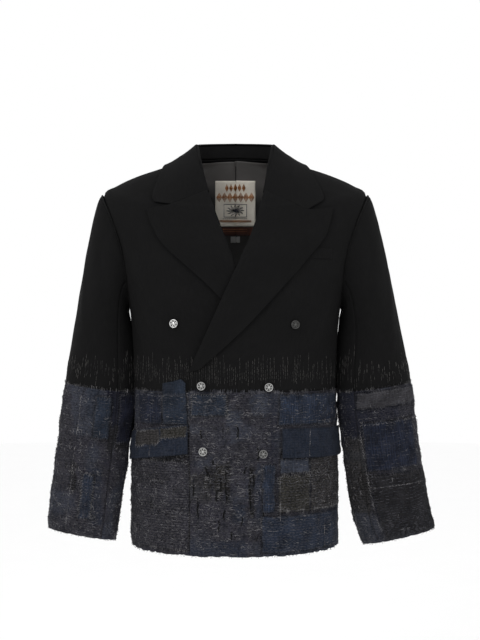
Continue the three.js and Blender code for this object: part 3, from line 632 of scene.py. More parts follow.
def on_back(x, z):
    """Angle and ring of the body's back at a place in the front view."""
    x, z = np.broadcast_arrays(np.asarray(x, float), np.asarray(z, float))
    v = solve(lambda u: body_form(180 - angle_at(x, u), u)[..., 2], z, 0, NECK)
    return 180 - angle_at(x, v), v


def inside_point(angle, v, depth):
    """A place inside the back, at a depth under the back's own cloth."""
    return body_form(angle, v) - body_normal(angle, v) * np.asarray(CLOTH + depth)[..., None]


PANELS = {}  # name: (last column, last row, place)
UPPER_RINGS = np.array([0, 0.12, 0.28, 0.46, 0.64, 0.82, 1, 1.5, SLEEVE_JOIN])
LOWER_RINGS = np.linspace(SLEEVE_JOIN, CUFF, 7)
for side in SIDES:
    for part, rows in (("top", TOP_ROWS), ("skirt", SKIRT_ROWS)):
        PANELS[f"front_{side}_{part}"] = (10, len(rows) - 1, front_panel(side, rows))
        PANELS[f"back_{side}_{part}"] = (8, len(rows) - 1, back_panel(side, rows))
    under, top = SLEEVE_SEAMS
    for piece, first, last in (("under", under, top), ("top", top, under + ARMHOLE_STEPS)):
        for part, rings in (("upper", UPPER_RINGS), ("lower", LOWER_RINGS)):
            place = sleeve_panel(side, first, rings)
            PANELS[f"sleeve_{side}_{piece}_{part}"] = (last - first, len(rings) - 1, place)
    PANELS[f"flap_{side}"] = (7, 2, flap_panel(side))

# ---- Shader nodes


class Shader:
    """Adds nodes to a shader tree and links them."""

    def __init__(self, tree):
        self.tree = tree

    def feed(self, node, inputs):
        """Links or sets a node's inputs."""
        for key, value in inputs.items():
            if isinstance(value, bpy.types.NodeSocket):
                self.tree.links.new(value, node.inputs[key])
            else:
                node.inputs[key].default_value = value
        return node

    def add(self, kind, inputs, **settings):
        node = self.tree.nodes.new(kind)
        for key, value in settings.items():
            setattr(node, key, value)
        return self.feed(node, inputs)

    def math(self, operation, *values, clamp=False):
        inputs = dict(enumerate(values))
        return self.add("ShaderNodeMath", inputs, operation=operation, use_clamp=clamp).outputs[0]

    def times(self, *values):
        return self.math("MULTIPLY", *values)

    def plus(self, *values):
        return self.math("ADD", *values)

    def times_plus(self, value, factor, added):
        return self.math("MULTIPLY_ADD", value, factor, added)

    def blend(self, share, first, second):
        """A mix of two numbers."""
        node = self.add("ShaderNodeMix", {0: share, 2: first, 3: second}, data_type="FLOAT")
        return node.outputs[0]

    def split(self, vector):
        return self.add("ShaderNodeSeparateXYZ", {0: vector}).outputs

    def piece_place(self):
        return self.add("ShaderNodeTexCoord", {}).outputs["Object"]

    def stored(self, name, output="Fac"):
        return self.add("ShaderNodeAttribute", {}, attribute_name=name).outputs[output]

    def mix(self, share, first, second):
        node = self.add("ShaderNodeMix", {0: share, 6: first, 7: second}, data_type="RGBA")
        return node.outputs[2]

    def scale(self, colour, factor):
        node = self.add("ShaderNodeVectorMath", {0: colour, "Scale": factor}, operation="SCALE")
        return node.outputs[0]

    def stretch(self, vector, factors):
        return self.add("ShaderNodeVectorMath", {0: vector, 1: factors}, operation="MULTIPLY").outputs[0]

    def noise(self, vector, scale, detail=2.0, rough=0.5, distortion=0.0):
        inputs = {"Vector": vector, "Scale": scale, "Detail": detail}
        inputs |= {"Roughness": rough, "Distortion": distortion}
        return self.add("ShaderNodeTexNoise", inputs).outputs["Fac"]

    def window(self, value, low, high):
        """0 at low, 1 at high, and smooth between."""
        inputs = {"Value": value, "From Min": low, "From Max": high}
        return self.add("ShaderNodeMapRange", inputs, interpolation_type="SMOOTHSTEP").outputs["Result"]

    def group(self, tree, output, **inputs):
        return self.feed(self.add("ShaderNodeGroup", {}, node_tree=tree), inputs).outputs[output]


def new_group(name, inputs, outputs):
    """An empty shader group with named sockets."""
    tree = bpy.data.node_groups.new(name, "ShaderNodeTree")
    for label, value in inputs.items():
        kind = "NodeSocketVector" if value is None else "NodeSocketFloat"
        socket = tree.interface.new_socket(label, in_out="INPUT", socket_type=kind)
        if value is not None:
            socket.default_value = value
    for label in outputs:
        tree.interface.new_socket(label, in_out="OUTPUT", socket_type="NodeSocketFloat")
    shader = Shader(tree)
    return shader, shader.add("NodeGroupInput", {}).outputs, shader.add("NodeGroupOutput", {})


def weave_group():
    """Threads over and under each other. Vector is in millimetres on the cloth."""
    s, given, result = new_group("weave", {"Vector": None, "Pitch": 1.0}, ["Height"])
    operands = {0: given["Vector"], 1: given["Pitch"]}
    grid = s.add("ShaderNodeVectorMath", operands, operation="DIVIDE").outputs[0]
    split = s.split(grid)
    warp = s.math("ABSOLUTE", s.math("SINE", s.times(split["X"], math.pi)))
    weft = s.math("ABSOLUTE", s.math("SINE", s.times(split["Y"], math.pi)))
    steps = s.plus(s.math("FLOOR", split["X"]), s.math("FLOOR", split["Y"]))
    over = s.math("PINGPONG", steps, 1.0)
    height = s.blend(over, warp, weft)
    s.tree.links.new(height, result.inputs["Height"])
    return s.tree


def slub_group():
    """Uneven yarn: long soft streaks along the warp and along the weft."""
    s, given, result = new_group("slub yarn", {"Vector": None, "Warp": 0.5}, ["Tone"])
    warp = s.noise(s.stretch(given["Vector"], (0.75, 0.05, 1)), 1.0, 3.0, 0.65)
    weft = s.noise(s.stretch(given["Vector"], (0.05, 0.75, 1)), 1.0, 3.0, 0.65)
    both = s.blend(given["Warp"], weft, warp)
    s.tree.links.new(s.window(both, 0.28, 0.72), result.inputs["Tone"])
    return s.tree


def running_stitch_group():
    """Rows of running stitch. Pitch is between rows; Length is a stitch and its gap, in millimetres."""
    names = {"Vector": None, "Pitch": 6.0, "Length": 7.0, "Width": 0.7, "Wander": 0.5}
    s, given, result = new_group("running stitch", names, ["Mask"])
    drift = s.math("SUBTRACT", s.noise(given["Vector"], 0.05, 1.0), 0.5)
    split = s.split(given["Vector"])
    line = s.plus(s.math("DIVIDE", split["Y"], given["Pitch"]), s.times(drift, given["Wander"]))
    row = s.math("FLOOR", line)
    chance = s.add("ShaderNodeTexWhiteNoise", {"W": row}, noise_dimensions="1D").outputs["Value"]
    off_middle = s.math("ABSOLUTE", s.math("SUBTRACT", s.math("FRACT", line), 0.5))
    off_line = s.times(off_middle, given["Pitch"])
    on_line = s.window(off_line, given["Width"], s.times(given["Width"], 0.4))
    run = s.math("FRACT", s.plus(s.math("DIVIDE", split["X"], given["Length"]), s.times(chance, 9.0)))
    on_run = s.math("LESS_THAN", run, 0.62)
    s.tree.links.new(s.times(on_line, on_run), result.inputs["Mask"])
    return s.tree


def fray_group():
    """Broken yarn ends that wander over worn cloth."""
    s, given, result = new_group("frayed yarn", {"Vector": None, "Scale": 0.3, "Width": 0.03}, ["Mask"])
    field = s.noise(given["Vector"], given["Scale"], 2.0, 0.6, 1.2)
    near = s.math("ABSOLUTE", s.math("SUBTRACT", field, 0.5))
    line = s.window(near, given["Width"], s.times(given["Width"], 0.2))
    broken = s.window(s.noise(given["Vector"], 0.35, 2.0, 0.7), 0.42, 0.58)
    s.tree.links.new(s.times(line, broken), result.inputs["Mask"])
    return s.tree


WEAVE, SLUB, RUNNING, FRAY = weave_group(), slub_group(), running_stitch_group(), fray_group()


def new_material(name, roughness, specular=0.5, sheen=0.0, metallic=0.0):
    material = bpy.data.materials.new(name)
    material.use_nodes = True
    tree = material.node_tree
    principled = tree.nodes["Principled BSDF"]
    principled.inputs["Roughness"].default_value = roughness
    principled.inputs["Specular IOR Level"].default_value = specular
    principled.inputs["Metallic"].default_value = metallic
    principled.inputs["Sheen Weight"].default_value = sheen
    principled.inputs["Sheen Roughness"].default_value = 0.5
    return material, Shader(tree), principled


def cloth_millimetres(s):
    """The piece's own cloth coordinates, in millimetres."""
    uv = s.add("ShaderNodeUVMap", {}, uv_map="cloth").outputs["UV"]
    return s.scale(uv, 1 / MM)


def finish_surface(s, principled, colour, height, depth):
    bump = s.add("ShaderNodeBump", {"Height": height, "Distance": depth * MM, "Strength": 1.0})
    s.tree.links.new(colour, principled.inputs["Base Color"])
    s.tree.links.new(bump.outputs["Normal"], principled.inputs["Normal"])


def wool_material():
    """Matt black wool twill with faint lint."""
    material, s, principled = new_material("black wool", 0.95, 0.06, 0.006)
    cloth = cloth_millimetres(s)
    turned = s.add("ShaderNodeMapping", {"Vector": cloth, "Rotation": (0, 0, math.radians(58))}).outputs[0]
    weave = s.group(WEAVE, "Height", Vector=turned, Pitch=0.9)
    slub = s.group(SLUB, "Tone", Vector=cloth, Warp=0.8)
    soft = s.noise(cloth, 0.012, 2.0)
    tone = s.plus(s.times(slub, 0.45), s.times(soft, 0.5))
    colour = s.mix(tone, (0.0036, 0.0036, 0.0037, 1), (0.0082, 0.0081, 0.0083, 1))
    lint = s.window(s.noise(cloth, 0.45, 1.0), 0.76, 0.80)
    colour = s.mix(s.times(lint, 0.30), colour, (0.03, 0.03, 0.03, 1))
    height = s.plus(s.times(weave, 0.5), s.times(slub, 0.6))
    finish_surface(s, principled, colour, height, 0.22)
    return material


def boro_material(name, warp, stripe, stitch, thread_pitch):
    """Worn indigo and charcoal cotton. It takes its dye and its wear from the piece's attributes; the
    ground's dye also holds painted shadow round its patches and under the pocket flaps.
    """
    material, s, principled = new_material(name, 0.97, 0.08, 0.015)
    cloth = cloth_millimetres(s)
    dye = s.stored("dye", "Color")
    wear = s.stored("wear")
    weave = s.group(WEAVE, "Height", Vector=cloth, Pitch=thread_pitch)
    slub = s.group(SLUB, "Tone", Vector=cloth, Warp=warp)
    rows = s.group(RUNNING, "Mask", Vector=cloth, Pitch=4.4, Length=8.0, Width=1.1, Wander=0.8)
    frayed = s.group(FRAY, "Mask", Vector=cloth, Scale=0.10, Width=0.045)
    frayed_fine = s.group(FRAY, "Mask", Vector=s.stretch(cloth, (1.0, 0.6, 1.0)), Scale=0.26, Width=0.07)
    # Uneven yarn and fading
    tone = s.times_plus(slub, 1.05, 0.42)
    colour = s.scale(dye, tone)
    fade = s.times(s.window(s.noise(cloth, 0.035, 3.0, 0.6), 0.42, 0.70), 0.5)
    colour = s.mix(fade, colour, s.mix(0.3, s.scale(dye, 1.7), (0.036, 0.035, 0.040, 1)))
    # Woven stripes along the warp
    across = s.split(cloth)["X"]
    lines = s.window(s.math("SINE", s.times(across, math.tau / 4.6)), 0.35, 0.95)
    broken = s.window(s.noise(s.stretch(cloth, (0.5, 0.06, 1)), 1.0, 2.0), 0.42, 0.6)
    lines = s.times(s.times(lines, broken), stripe)
    colour = s.mix(lines, colour, s.scale(dye, 2.8))
    # Near-black pits where the cloth is worn through, painted as the shade inside the holes, and pale
    # broken yarn
    wide_pits = s.window(s.noise(s.stretch(cloth, (1.0, 0.4, 1)), 0.11, 3.0, 0.65), 0.56, 0.66)
    small_pits = s.window(s.noise(s.stretch(cloth, (0.7, 1.0, 1)), 0.26, 2.0, 0.7), 0.53, 0.64)
    pits = s.math("MAXIMUM", wide_pits, s.times(small_pits, 0.75))
    colour = s.mix(s.times(pits, s.times_plus(wear, 0.72, 0.12)), colour, (*SHADE_BLACK, 1))
    yarn = s.math("MAXIMUM", frayed, s.times(frayed_fine, 0.8))
    yarn = s.times(yarn, s.times_plus(wear, 0.62, 0.04))
    stitched = s.times(rows, s.times_plus(wear, 0.30, stitch))
    pale = s.math("MAXIMUM", yarn, stitched, clamp=True)
    colour = s.mix(pale, colour, s.mix(0.5, (0.100, 0.096, 0.094, 1), s.scale(dye, 3.0)))
    height = s.plus(s.times(weave, 0.35), s.times(slub, 0.45))
    height = s.plus(height, s.times(pale, 1.8))
    height = s.math("SUBTRACT", height, s.times(pits, 1.4))
    finish_surface(s, principled, colour, height, 0.6)
    return material


def thread_material(name, dark, pale):
    """Cotton thread that turns from one tone to another from place to place."""
    material, s, principled = new_material(name, 0.9, 0.15)
    place = s.piece_place()
    tone = s.window(s.noise(place, 70.0, 2.0, 0.7), 0.36, 0.66)
    twist = s.noise(place, 1500.0, 1.0)
    finish_surface(s, principled, s.mix(tone, (*dark, 1), (*pale, 1)), twist, 0.12)
    return material


def satin_material():
    material, s, principled = new_material("lining satin", 0.42, 0.45, 0.0)
    cloth = cloth_millimetres(s)
    weft = s.noise(s.stretch(cloth, (0.08, 2.2, 1)), 1.0, 2.0)
    soft = s.noise(cloth, 0.02, 2.0)
    colour = s.mix(s.times_plus(weft, 0.5, s.times(soft, 0.4)),
                   (0.050, 0.047, 0.045, 1), (0.118, 0.111, 0.108, 1))
    # Painted shade: the lining turns almost black from 30 mm to 75 mm below the neck downwards, as the
    # shade inside the jacket's back
    height = s.split(s.piece_place())["Z"]
    low = s.window(height, -0.030, -0.075)
    colour = s.mix(s.times(low, 0.93), colour, (0.0035, 0.0032, 0.0031, 1))
    weave = s.group(WEAVE, "Height", Vector=cloth, Pitch=0.5)
    finish_surface(s, principled, colour, s.times_plus(weft, 0.6, s.times(weave, 0.3)), 0.10)
    return material


def tape_material(name, low, high, roughness):
    """Close-woven label cloth."""
    material, s, principled = new_material(name, roughness, 0.25)
    cloth = cloth_millimetres(s)
    weave = s.group(WEAVE, "Height", Vector=cloth, Pitch=0.6)
    soft = s.noise(cloth, 0.12, 3.0)
    tone = s.times_plus(weave, 0.3, s.times(soft, 0.7))
    finish_surface(s, principled, s.mix(tone, (*low, 1), (*high, 1)), weave, 0.12)
    return material


def metal_material():
    """Cast silver-coloured metal, polished on the high places and dull in the recesses; the stored dullness
    also holds each button's painted shade.
    """
    material, s, principled = new_material("cast button metal", 0.3, 0.5, 0.0, 1.0)
    place = s.piece_place()
    hollows_and_shade = s.stored("wear")
    speckle = s.noise(place, 900.0, 3.0, 0.6)
    dull = s.math("MULTIPLY", s.times_plus(speckle, 0.4, 0.8), hollows_and_shade, clamp=True)
    colour = s.mix(dull, (0.66, 0.66, 0.65, 1), (0.022, 0.022, 0.021, 1))
    rough = s.times_plus(dull, 0.35, 0.25)
    s.tree.links.new(rough, principled.inputs["Roughness"])
    finish_surface(s, principled, colour, speckle, 0.05)
    return material


WOOL = wool_material()
GROUND = boro_material("boro ground", 0.45, 0.0, 0.10, 1.3)
STRIPED = boro_material("boro striped patch", 0.9, 0.75, 0.03, 0.9)
PLAIN = boro_material("boro plain patch", 0.5, 0.15, 0.06, 0.9)
QUILTED = boro_material("boro quilted patch", 0.2, 0.0, 0.30, 1.1)
PALE_THREAD = thread_material("pale thread", (0.026, 0.026, 0.031), (0.20, 0.195, 0.20))
GREY_THREAD = thread_material("grey thread", (0.012, 0.0135, 0.020), (0.085, 0.085, 0.098))
STROKE_THREAD = thread_material("charcoal thread", (0.015, 0.015, 0.016), (0.085, 0.082, 0.078))
# Near-black thread for painted shade: the shadow of the lining's pleat, the seams and the torn slits
SHADE_THREAD = thread_material("painted shade thread", (0.0015, 0.0015, 0.0015), (0.004, 0.004, 0.004))
SATIN = satin_material()
IVORY = tape_material("ivory label", (0.72, 0.67, 0.58), (0.95, 0.90, 0.80), 0.6)
TAPE = tape_material("dark brown tape", (0.030, 0.012, 0.009), (0.075, 0.028, 0.018), 0.8)
TAB = tape_material("grey tab", (0.17, 0.17, 0.17), (0.30, 0.30, 0.29), 0.8)
RUSSET = thread_material("russet thread", (0.24, 0.10, 0.04), (0.50, 0.235, 0.10))
METAL = metal_material()

# ---- Making pieces


def segment_lengths(grid, axis):
    return np.linalg.norm(np.diff(grid, axis=axis), axis=-1)


def split(lengths, spacing):
    """Knots 0, 1, 2 and so on, with even steps of about the spacing between them."""
    counts = [math.ceil(length / spacing) for length in lengths]
    parts = [np.linspace(k, k + 1, count, endpoint=False) for k, count in enumerate(counts)]
    return np.concatenate([*parts, [len(lengths)]])


def panel_steps(name):
    """Millimetres from column to column, and from row to row, all over a panel."""
    last_column, last_row, place = PANELS[name]
    corners = place(*np.meshgrid(np.arange(last_column + 1.0), np.arange(last_row + 1.0)), 0)
    return segment_lengths(corners, 1), segment_lengths(corners, 0)


@functools.cache
def panel_size(name):
    """Millimetres for each column and each row of a panel, on average."""
    return [steps.mean() for steps in panel_steps(name)]


def linked(name, data):
    """A new object in the scene."""
    piece = bpy.data.objects.new(name, data)
    bpy.context.scene.collection.objects.link(piece)
    return piece


def grid_mesh(name, points, outward):
    """A sheet's mesh from its grid of places, with cloth coordinates in metres as its UV map."""
    rows, columns = points.shape[:2]
    bm = bmesh.new()
    bmesh.ops.create_grid(bm, x_segments=columns - 1, y_segments=rows - 1, size=1)
    mesh = bpy.data.meshes.new(name)
    bm.to_mesh(mesh)
    bm.free()
    spots = np.empty(len(mesh.vertices) * 3)
    mesh.vertices.foreach_get("co", spots)
    spots = (spots.reshape(-1, 3) + 1) / 2
    i = np.rint(spots[:, 0] * (columns - 1)).astype(int)
    j = np.rint(spots[:, 1] * (rows - 1)).astype(int)
    mesh.vertices.foreach_set("co", (points[j, i] * MM).ravel())
    s = np.concatenate([[0], np.cumsum(segment_lengths(points, 1).mean(0))])
    t = np.concatenate([[0], np.cumsum(segment_lengths(points, 0).mean(1))])
    corner = np.empty(len(mesh.loops), int)
    mesh.loops.foreach_get("vertex_index", corner)
    cloth = np.column_stack([s[i[corner]], t[j[corner]]]) * MM
    mesh.uv_layers.new(name="cloth").data.foreach_set("uv", cloth.ravel())
    middle_row, middle = rows // 2, columns // 2
    across = points[middle_row, middle] - points[middle_row, middle - 1]
    up = points[middle_row, middle] - points[middle_row - 1, middle]
    if np.dot(np.cross(across, up), outward) < 0:
        mesh.flip_normals()
    mesh.shade_smooth()
    return mesh, j, i


def paint(mesh, j, i, dye, wear):
    """Stores the dye, with any painted shadow multiplied in, and the wear of each place of the sheet."""
    colour = np.ones((len(i), 4), np.float32)
    colour[:, :3] = dye[j, i]
    mesh.attributes.new("dye", "FLOAT_COLOR", "POINT").data.foreach_set("color", colour.ravel())
    mesh.attributes.new("wear", "FLOAT", "POINT").data.foreach_set("value", wear[j, i].astype(np.float32))


def own(piece, slot, *nodes):
    """Puts a piece on the jacket's body, in place of its solids."""
    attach(piece, ROOT)
    if nodes:
        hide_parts(*nodes)


def add_sheet(name, points, outward, look, slot, *,
              wall=CLOTH, offset=-1.0, dye=None, wear=None):
    """A thin shell of cloth on a grid of places."""
    mesh, j, i = grid_mesh(name, points, outward)
    if dye is not None:
        paint(mesh, j, i, dye, wear)
    mesh.materials.append(look)
    piece = linked(name + "_cloth", mesh)
    shell = piece.modifiers.new("wall", "SOLIDIFY")
    shell.thickness = wall * MM
    shell.offset = offset
    shell.use_quality_normals = False
    own(piece, slot, name)


def threads(name, paths, radius, look, slot="patch_cloth"):
    """Many threads as one mesh. Each path is a list of places."""
    curve = bpy.data.curves.new(name, "CURVE")
    curve.dimensions = "3D"
    curve.bevel_depth = radius * MM
    curve.bevel_resolution = 0
    curve.use_fill_caps = True
    for path in paths:
        spline = curve.splines.new("POLY")
        spline.points.add(len(path) - 1)
        places = np.column_stack([np.asarray(path) * MM, np.ones(len(path))])
        spline.points.foreach_set("co", places.ravel())
    holder = bpy.data.objects.new(name, curve)
    mesh = bpy.data.meshes.new_from_object(holder)
    bpy.data.objects.remove(holder)
    mesh.name = name
    mesh.materials.clear()
    mesh.materials.append(look)
    own(linked(name, mesh), slot)


# ---- Where the cloth is scrapped together: dyes of the ground, placed in the front view


def boxed(x, z, left, right, bottom, top, soft):
    """1 inside a box with soft ragged edges, and 0 outside."""
    ragged_x = x + 2.0 * ripple(x, z, 11, 71)
    ragged_z = z + 2.0 * ripple(x, z, 11, 72)

    def between(value, low, high):
        begun = smoothstep(value, low - soft, low + soft)
        return begun * (1 - smoothstep(value, high - soft, high + soft))

    return between(ragged_x, left, right) * between(ragged_z, bottom, top)


# left, right, bottom, top of each scrap, its dye, how much of it is left, and its wear
BODY_SCRAPS = [
    (-186, -160, -470, -410, BLUE_GREY, 0.6, 0.6), (-160, -112, -462, -416, INDIGO, 0.7, 0.3),
    (-80, -8, -462, -414, BLUE_GREY, 0.75, 0.7), (-20, 26, -440, -414, LILAC, 0.8, 0.9),
    (30, 82, -460, -414, BLUE_GREY, 0.6, 0.8), (-60, -8, -520, -462, LILAC, 0.7, 0.9),
    (-16, 12, -478, -452, BLUE_GREY, 0.7, 0.5), (26, 62, -520, -466, LILAC, 0.6, 0.9),
    (-40, 40, -560, -520, CHARCOAL, 0.8, 0.8), (-52, -34, -585, -548, SHADE_BLACK, 0.75, 0.9),
    (-34, -8, -590, -545, OLIVE, 0.85, 1.0), (-33, -20, -612, -552, SHADE_BLACK, 0.6, 1.0),
    (-14, -8, -610, -540, SHADE_BLACK, 0.95, 0.6), (26, 33, -636, -548, SHADE_BLACK, 0.9, 0.7),
    (-6, 22, -600, -545, LILAC, 0.7, 0.8), (-80, -40, -612, -560, OLIVE, 0.5, 1.0),
    (-78, -20, -690, -606, LILAC, 0.5, 1.0), (-2, 18, -645, -612, INDIGO, 0.75, 0.5),
    (-80, 20, -712, -676, INDIGO, 0.6, 0.4), (36, 50, -640, -545, INDIGO, 0.6, 0.5),
    (56, 74, -580, -420, NAVY, 0.5, 0.6), (92, 132, -560, -532, BLUE_GREY, 0.7, 0.6),
    (-186, -150, -690, -540, CHARCOAL, 0.6, 0.9), (150, 192, -700, -600, BLUE_GREY, 0.5, 0.4),
    (60, 192, -712, -640, INDIGO, 0.7, 0.3),
]
SLEEVE_SCRAPS = {
    "right": [
        (-290, -225, -500, -412, BLUE_GREY, 0.55, 0.8), (-262, -236, -470, -415, BLUE, 0.6, 0.5),
        (-228, -180, -484, -412, NAVY, 0.9, 0.1), (-226, -194, -526, -484, DARK, 0.8, 0.2),
        (-330, -285, -600, -470, CHARCOAL, 0.7, 0.9),
        (-284, -262, -640, -510, LILAC, 0.7, 0.8), (-292, -280, -600, -545, SHADE_BLACK, 0.8, 0.9),
        (-262, -236, -660, -556, INDIGO, 0.6, 0.7), (-330, -250, -712, -640, CHARCOAL, 0.6, 1.0),
    ],
    "left": [
        (180, 236, -520, -410, NAVY, 0.85, 0.2), (196, 240, -640, -505, OLIVE, 0.6, 1.0),
        (205, 250, -700, -560, SHADE_BLACK, 0.55, 0.9), (236, 330, -480, -430, NAVY, 0.7, 0.6),
        (290, 340, -560, -440, CHARCOAL, 0.7, 0.9), (214, 262, -712, -640, BLUE_GREY, 0.4, 1.0),
    ],
}
BACK_SCRAPS = [
    (-150, -90, -560, -420, BLUE_GREY, 0.5, 0.7), (-90, -20, -520, -416, LILAC, 0.6, 0.9),
    (-70, -56, -640, -520, SHADE_BLACK, 0.8, 0.8), (10, 80, -600, -540, OLIVE, 0.6, 1.0),
    (24, 32, -520, -430, SHADE_BLACK, 0.8, 0.7), (90, 180, -470, -416, INDIGO, 0.7, 0.3),
    (-40, 40, -700, -650, INDIGO, 0.6, 0.4), (100, 180, -700, -600, LILAC, 0.6, 0.8),
    (-180, -120, -700, -620, CHARCOAL, 0.7, 0.9), (-10, 60, -520, -470, BLUE_GREY, 0.5, 0.6),
]


def ground_dye(points, scraps, seed):
    """The dye and the wear of pieced ground cloth."""
    x, y, z = np.moveaxis(points, -1, 0)
    shade = smoothstep(ripple(x + y, z, 46, seed), -0.5, 0.6)[..., None]
    blue = smoothstep(ripple(x + y, z, 60, seed + 1), 0.1, 0.8)[..., None]
    dye = lerp(np.array(CHARCOAL), np.array(LILAC), shade)
    dye = lerp(dye, np.array(BLUE_GREY), 0.55 * blue)
    wear = 0.62 + 0.25 * ripple(x + y, z, 30, seed + 2)
    for left, right, bottom, top, colour, strength, worn in scraps:
        mask = boxed(x, z, left, right, bottom, top, 1.6)
        dye = lerp(dye, np.array(colour), (mask * strength)[..., None])
        wear = lerp(wear, worn, mask * strength)
    return dye, np.clip(wear, 0, 1)


def painted_patch_shadow(panel, columns, rows):
    """Painted shadow on the ground round the patches of a panel: 1 is unshaded."""
    column_mm, row_mm = panel_size(panel)
    unshaded = np.ones(columns.shape)
    for host, (left, right), (bottom, top), _, _ in PATCHES.values():
        if host == panel:
            s = np.maximum(left - columns, columns - right) * column_mm
            t = np.maximum(bottom - rows, rows - top) * row_mm
            # A band about 2.6 mm wide outside each patch's edge is darkened as painted shadow
            unshaded = unshaded * (1 - 0.7 * np.exp(-((np.maximum(s, t).clip(0) / 2.6) ** 2)))
    return unshaded


# Painted shadow on a front below its pocket flap and beside the flap's inner end: 1 is unshaded
def painted_flap_shadow(side, x, z):
    out = SIDES[side] * x
    bottom = FLAP_TOP[side] - FLAP["deep"] - FLAP_DROP[side] * smoothstep(out, FLAP["inner"], 186)
    below = np.exp(-(((z - bottom + 4) / 7.0) ** 2)) * smoothstep(out, FLAP["inner"] - 6, FLAP["inner"] + 1)
    beside = np.exp(-(((out - FLAP["inner"] + 1) / 3.0) ** 2)) * smoothstep(z, bottom - 4, bottom + 4)
    beside = beside * (1 - smoothstep(z, bottom + FLAP["deep"] - 4, bottom + FLAP["deep"]))
    return 1 - 0.95 * np.maximum(below, 0.6 * beside)


def scraps_of(name):
    if name.startswith("sleeve"):
        return SLEEVE_SCRAPS["left" if "left" in name else "right"]
    return BACK_SCRAPS if name.startswith("back") else BODY_SCRAPS


# ---- The jacket's own panels


# Millimetres between the places of a sheet's grid
SPACING = {"black": 7.0, "boro front": 3.6, "boro": 5.0, "patch": 3.3}
# Part of a column and of a row by which a panel is tucked in at its seams
COLUMN_TUCK, ROW_TUCK = 0.15 / 30, 0.15 / 40
SEAM_DIP = {"deep": 0.75, "reach": 0.085}  # millimetres, and columns or rows
# How strong a flap's indigo is, and how worn it is
FLAP_DYE = {"flap_right": (0.85, 0.3), "flap_left": (0.78, 0.25)}


def seam_dip(columns, rows, last_column, last_row, free_start):
    """How far a panel turns in where it is sewn to its neighbours, in millimetres."""

    def near(distance):
        return SEAM_DIP["deep"] * np.exp(-((distance / SEAM_DIP["reach"]) ** 2))

    dip = np.maximum(near(last_column - columns), near(last_row - rows))
    dip = np.maximum(dip, near(rows))
    return dip if free_start else np.maximum(dip, near(columns))


def outward_of(place, column, row):
    spot = np.array(column), np.array(row)
    return place(*spot, 1.0) - place(*spot, 0.0)


def add_panel(name):
    last_column, last_row, place = PANELS[name]
    boro = name.endswith(("skirt", "lower")) or name.startswith("flap")
    spacing = SPACING["black"]
    if boro:
        spacing = SPACING["boro front" if name.startswith("front") else "boro"]
    across, up = panel_steps(name)
    columns, rows = split(across.max(0), spacing), split(up.max(1), spacing)
    columns[[0, -1]] += [COLUMN_TUCK, -COLUMN_TUCK]
    rows[[0, -1]] += [ROW_TUCK, -ROW_TUCK]
    grid = np.meshgrid(columns, rows)
    if name.startswith("flap"):
        lift = 0.5 * ripple(grid[0] * 15, grid[1] * 25, 17, 3)
    else:
        lift = -seam_dip(*grid, last_column, last_row, name.startswith("front"))
    if name.endswith(("skirt", "lower")):
        ragged = (grid[1] < 0.01) if name.endswith("skirt") else (grid[1] > last_row - 0.01)
        grid[1] = grid[1] + ragged * 0.035 * ripple(grid[0] * 30, 0 * grid[0], 9, 5)
    points = place(*grid, lift)
    outward = outward_of(place, last_column / 2, last_row / 2)
    if not boro:
        add_sheet(name, points, outward, WOOL, "black_cloth")
        return
    if name in FLAP_DYE:
        strength, worn = FLAP_DYE[name]
        dye = np.broadcast_to(np.array(INDIGO) * strength, points.shape)
        wear = np.full(points.shape[:2], worn)
        look = PLAIN
    else:
        dye, wear = ground_dye(points, scraps_of(name), sum(map(ord, name)))
        # Painted shadow: the ground's dye is darkened round its patches and, on the fronts, under the
        # pocket flaps
        dye = dye * painted_patch_shadow(name, *grid)[..., None]
        if name.startswith("front"):
            dye = dye * painted_flap_shadow(name.split("_")[1], points[..., 0], points[..., 2])[..., None]
        look = GROUND
    add_sheet(name, points, outward, look, "boro_cloth", dye=dye, wear=wear)


for name in PANELS:
    add_panel(name)

# ---- Lapels, collar, breast welt, lining and labels


def add_lapel(side):
    v = np.concatenate([
        np.linspace(GORGE_RING, ARMHOLE_LOW, 60)[:-1],
        np.linspace(ARMHOLE_LOW, BREAK_RING, 30),
    ])
    points = lapel_grid(side, v)
    add_sheet(f"lapel_{side}", points, FORWARD, WOOL, "black_cloth", offset=0.0)


def add_collar():
    stand, backs = ["collar_stand_cloth"], ["back_left_top_cloth", "back_right_top_cloth"]
    for name, grid_of, below in (("collar_fall", collar_grid, stand), ("collar_stand", stand_grid, backs)):
        points = both_sides(grid_of, 60)
        add_sheet(name, points, (0, 0.3, 1), WOOL, "black_cloth", offset=0.0)


def add_welt():
    inner, outer, top, bottom = (WELT[key] for key in ("inner", "outer", "top", "bottom"))
    out, z = np.meshgrid(np.linspace(inner, outer, 24), np.linspace(bottom, top, 12))
    edge = np.minimum(np.minimum(out - inner, outer - out), z - bottom)
    points = on_front_panel("left", out, z, 0.7 + 0.9 * smoothstep(edge, 0, 2.5))
    add_sheet("breast_welt", points, FORWARD, WOOL, "black_cloth", wall=THIN)


LINING_WRINKLES = [
    (-50, -60, 40, -86, 5, 1.0), (-60, -170, -4, -215, 6, 0.9), (8, -160, 60, -230, 6, 1.0),
    (-40, -130, -46, -250, 6, 0.8), (30, -120, 44, -250, 6, 0.9),
]


def lining_depth(x, z):
    """Depth of the lining's seen side: a pressed pleat down the centre, and soft wrinkles."""
    pleat = 2.2 * smoothstep(x, 0.4, 1.4) * (1 - smoothstep(x, 3, 30))
    wrinkle = ridges(LINING_WRINKLES, 1, x, z)
    return LINING_GAP + THIN - pleat - wrinkle + 0.4 * ripple(x, z, 30, 31)


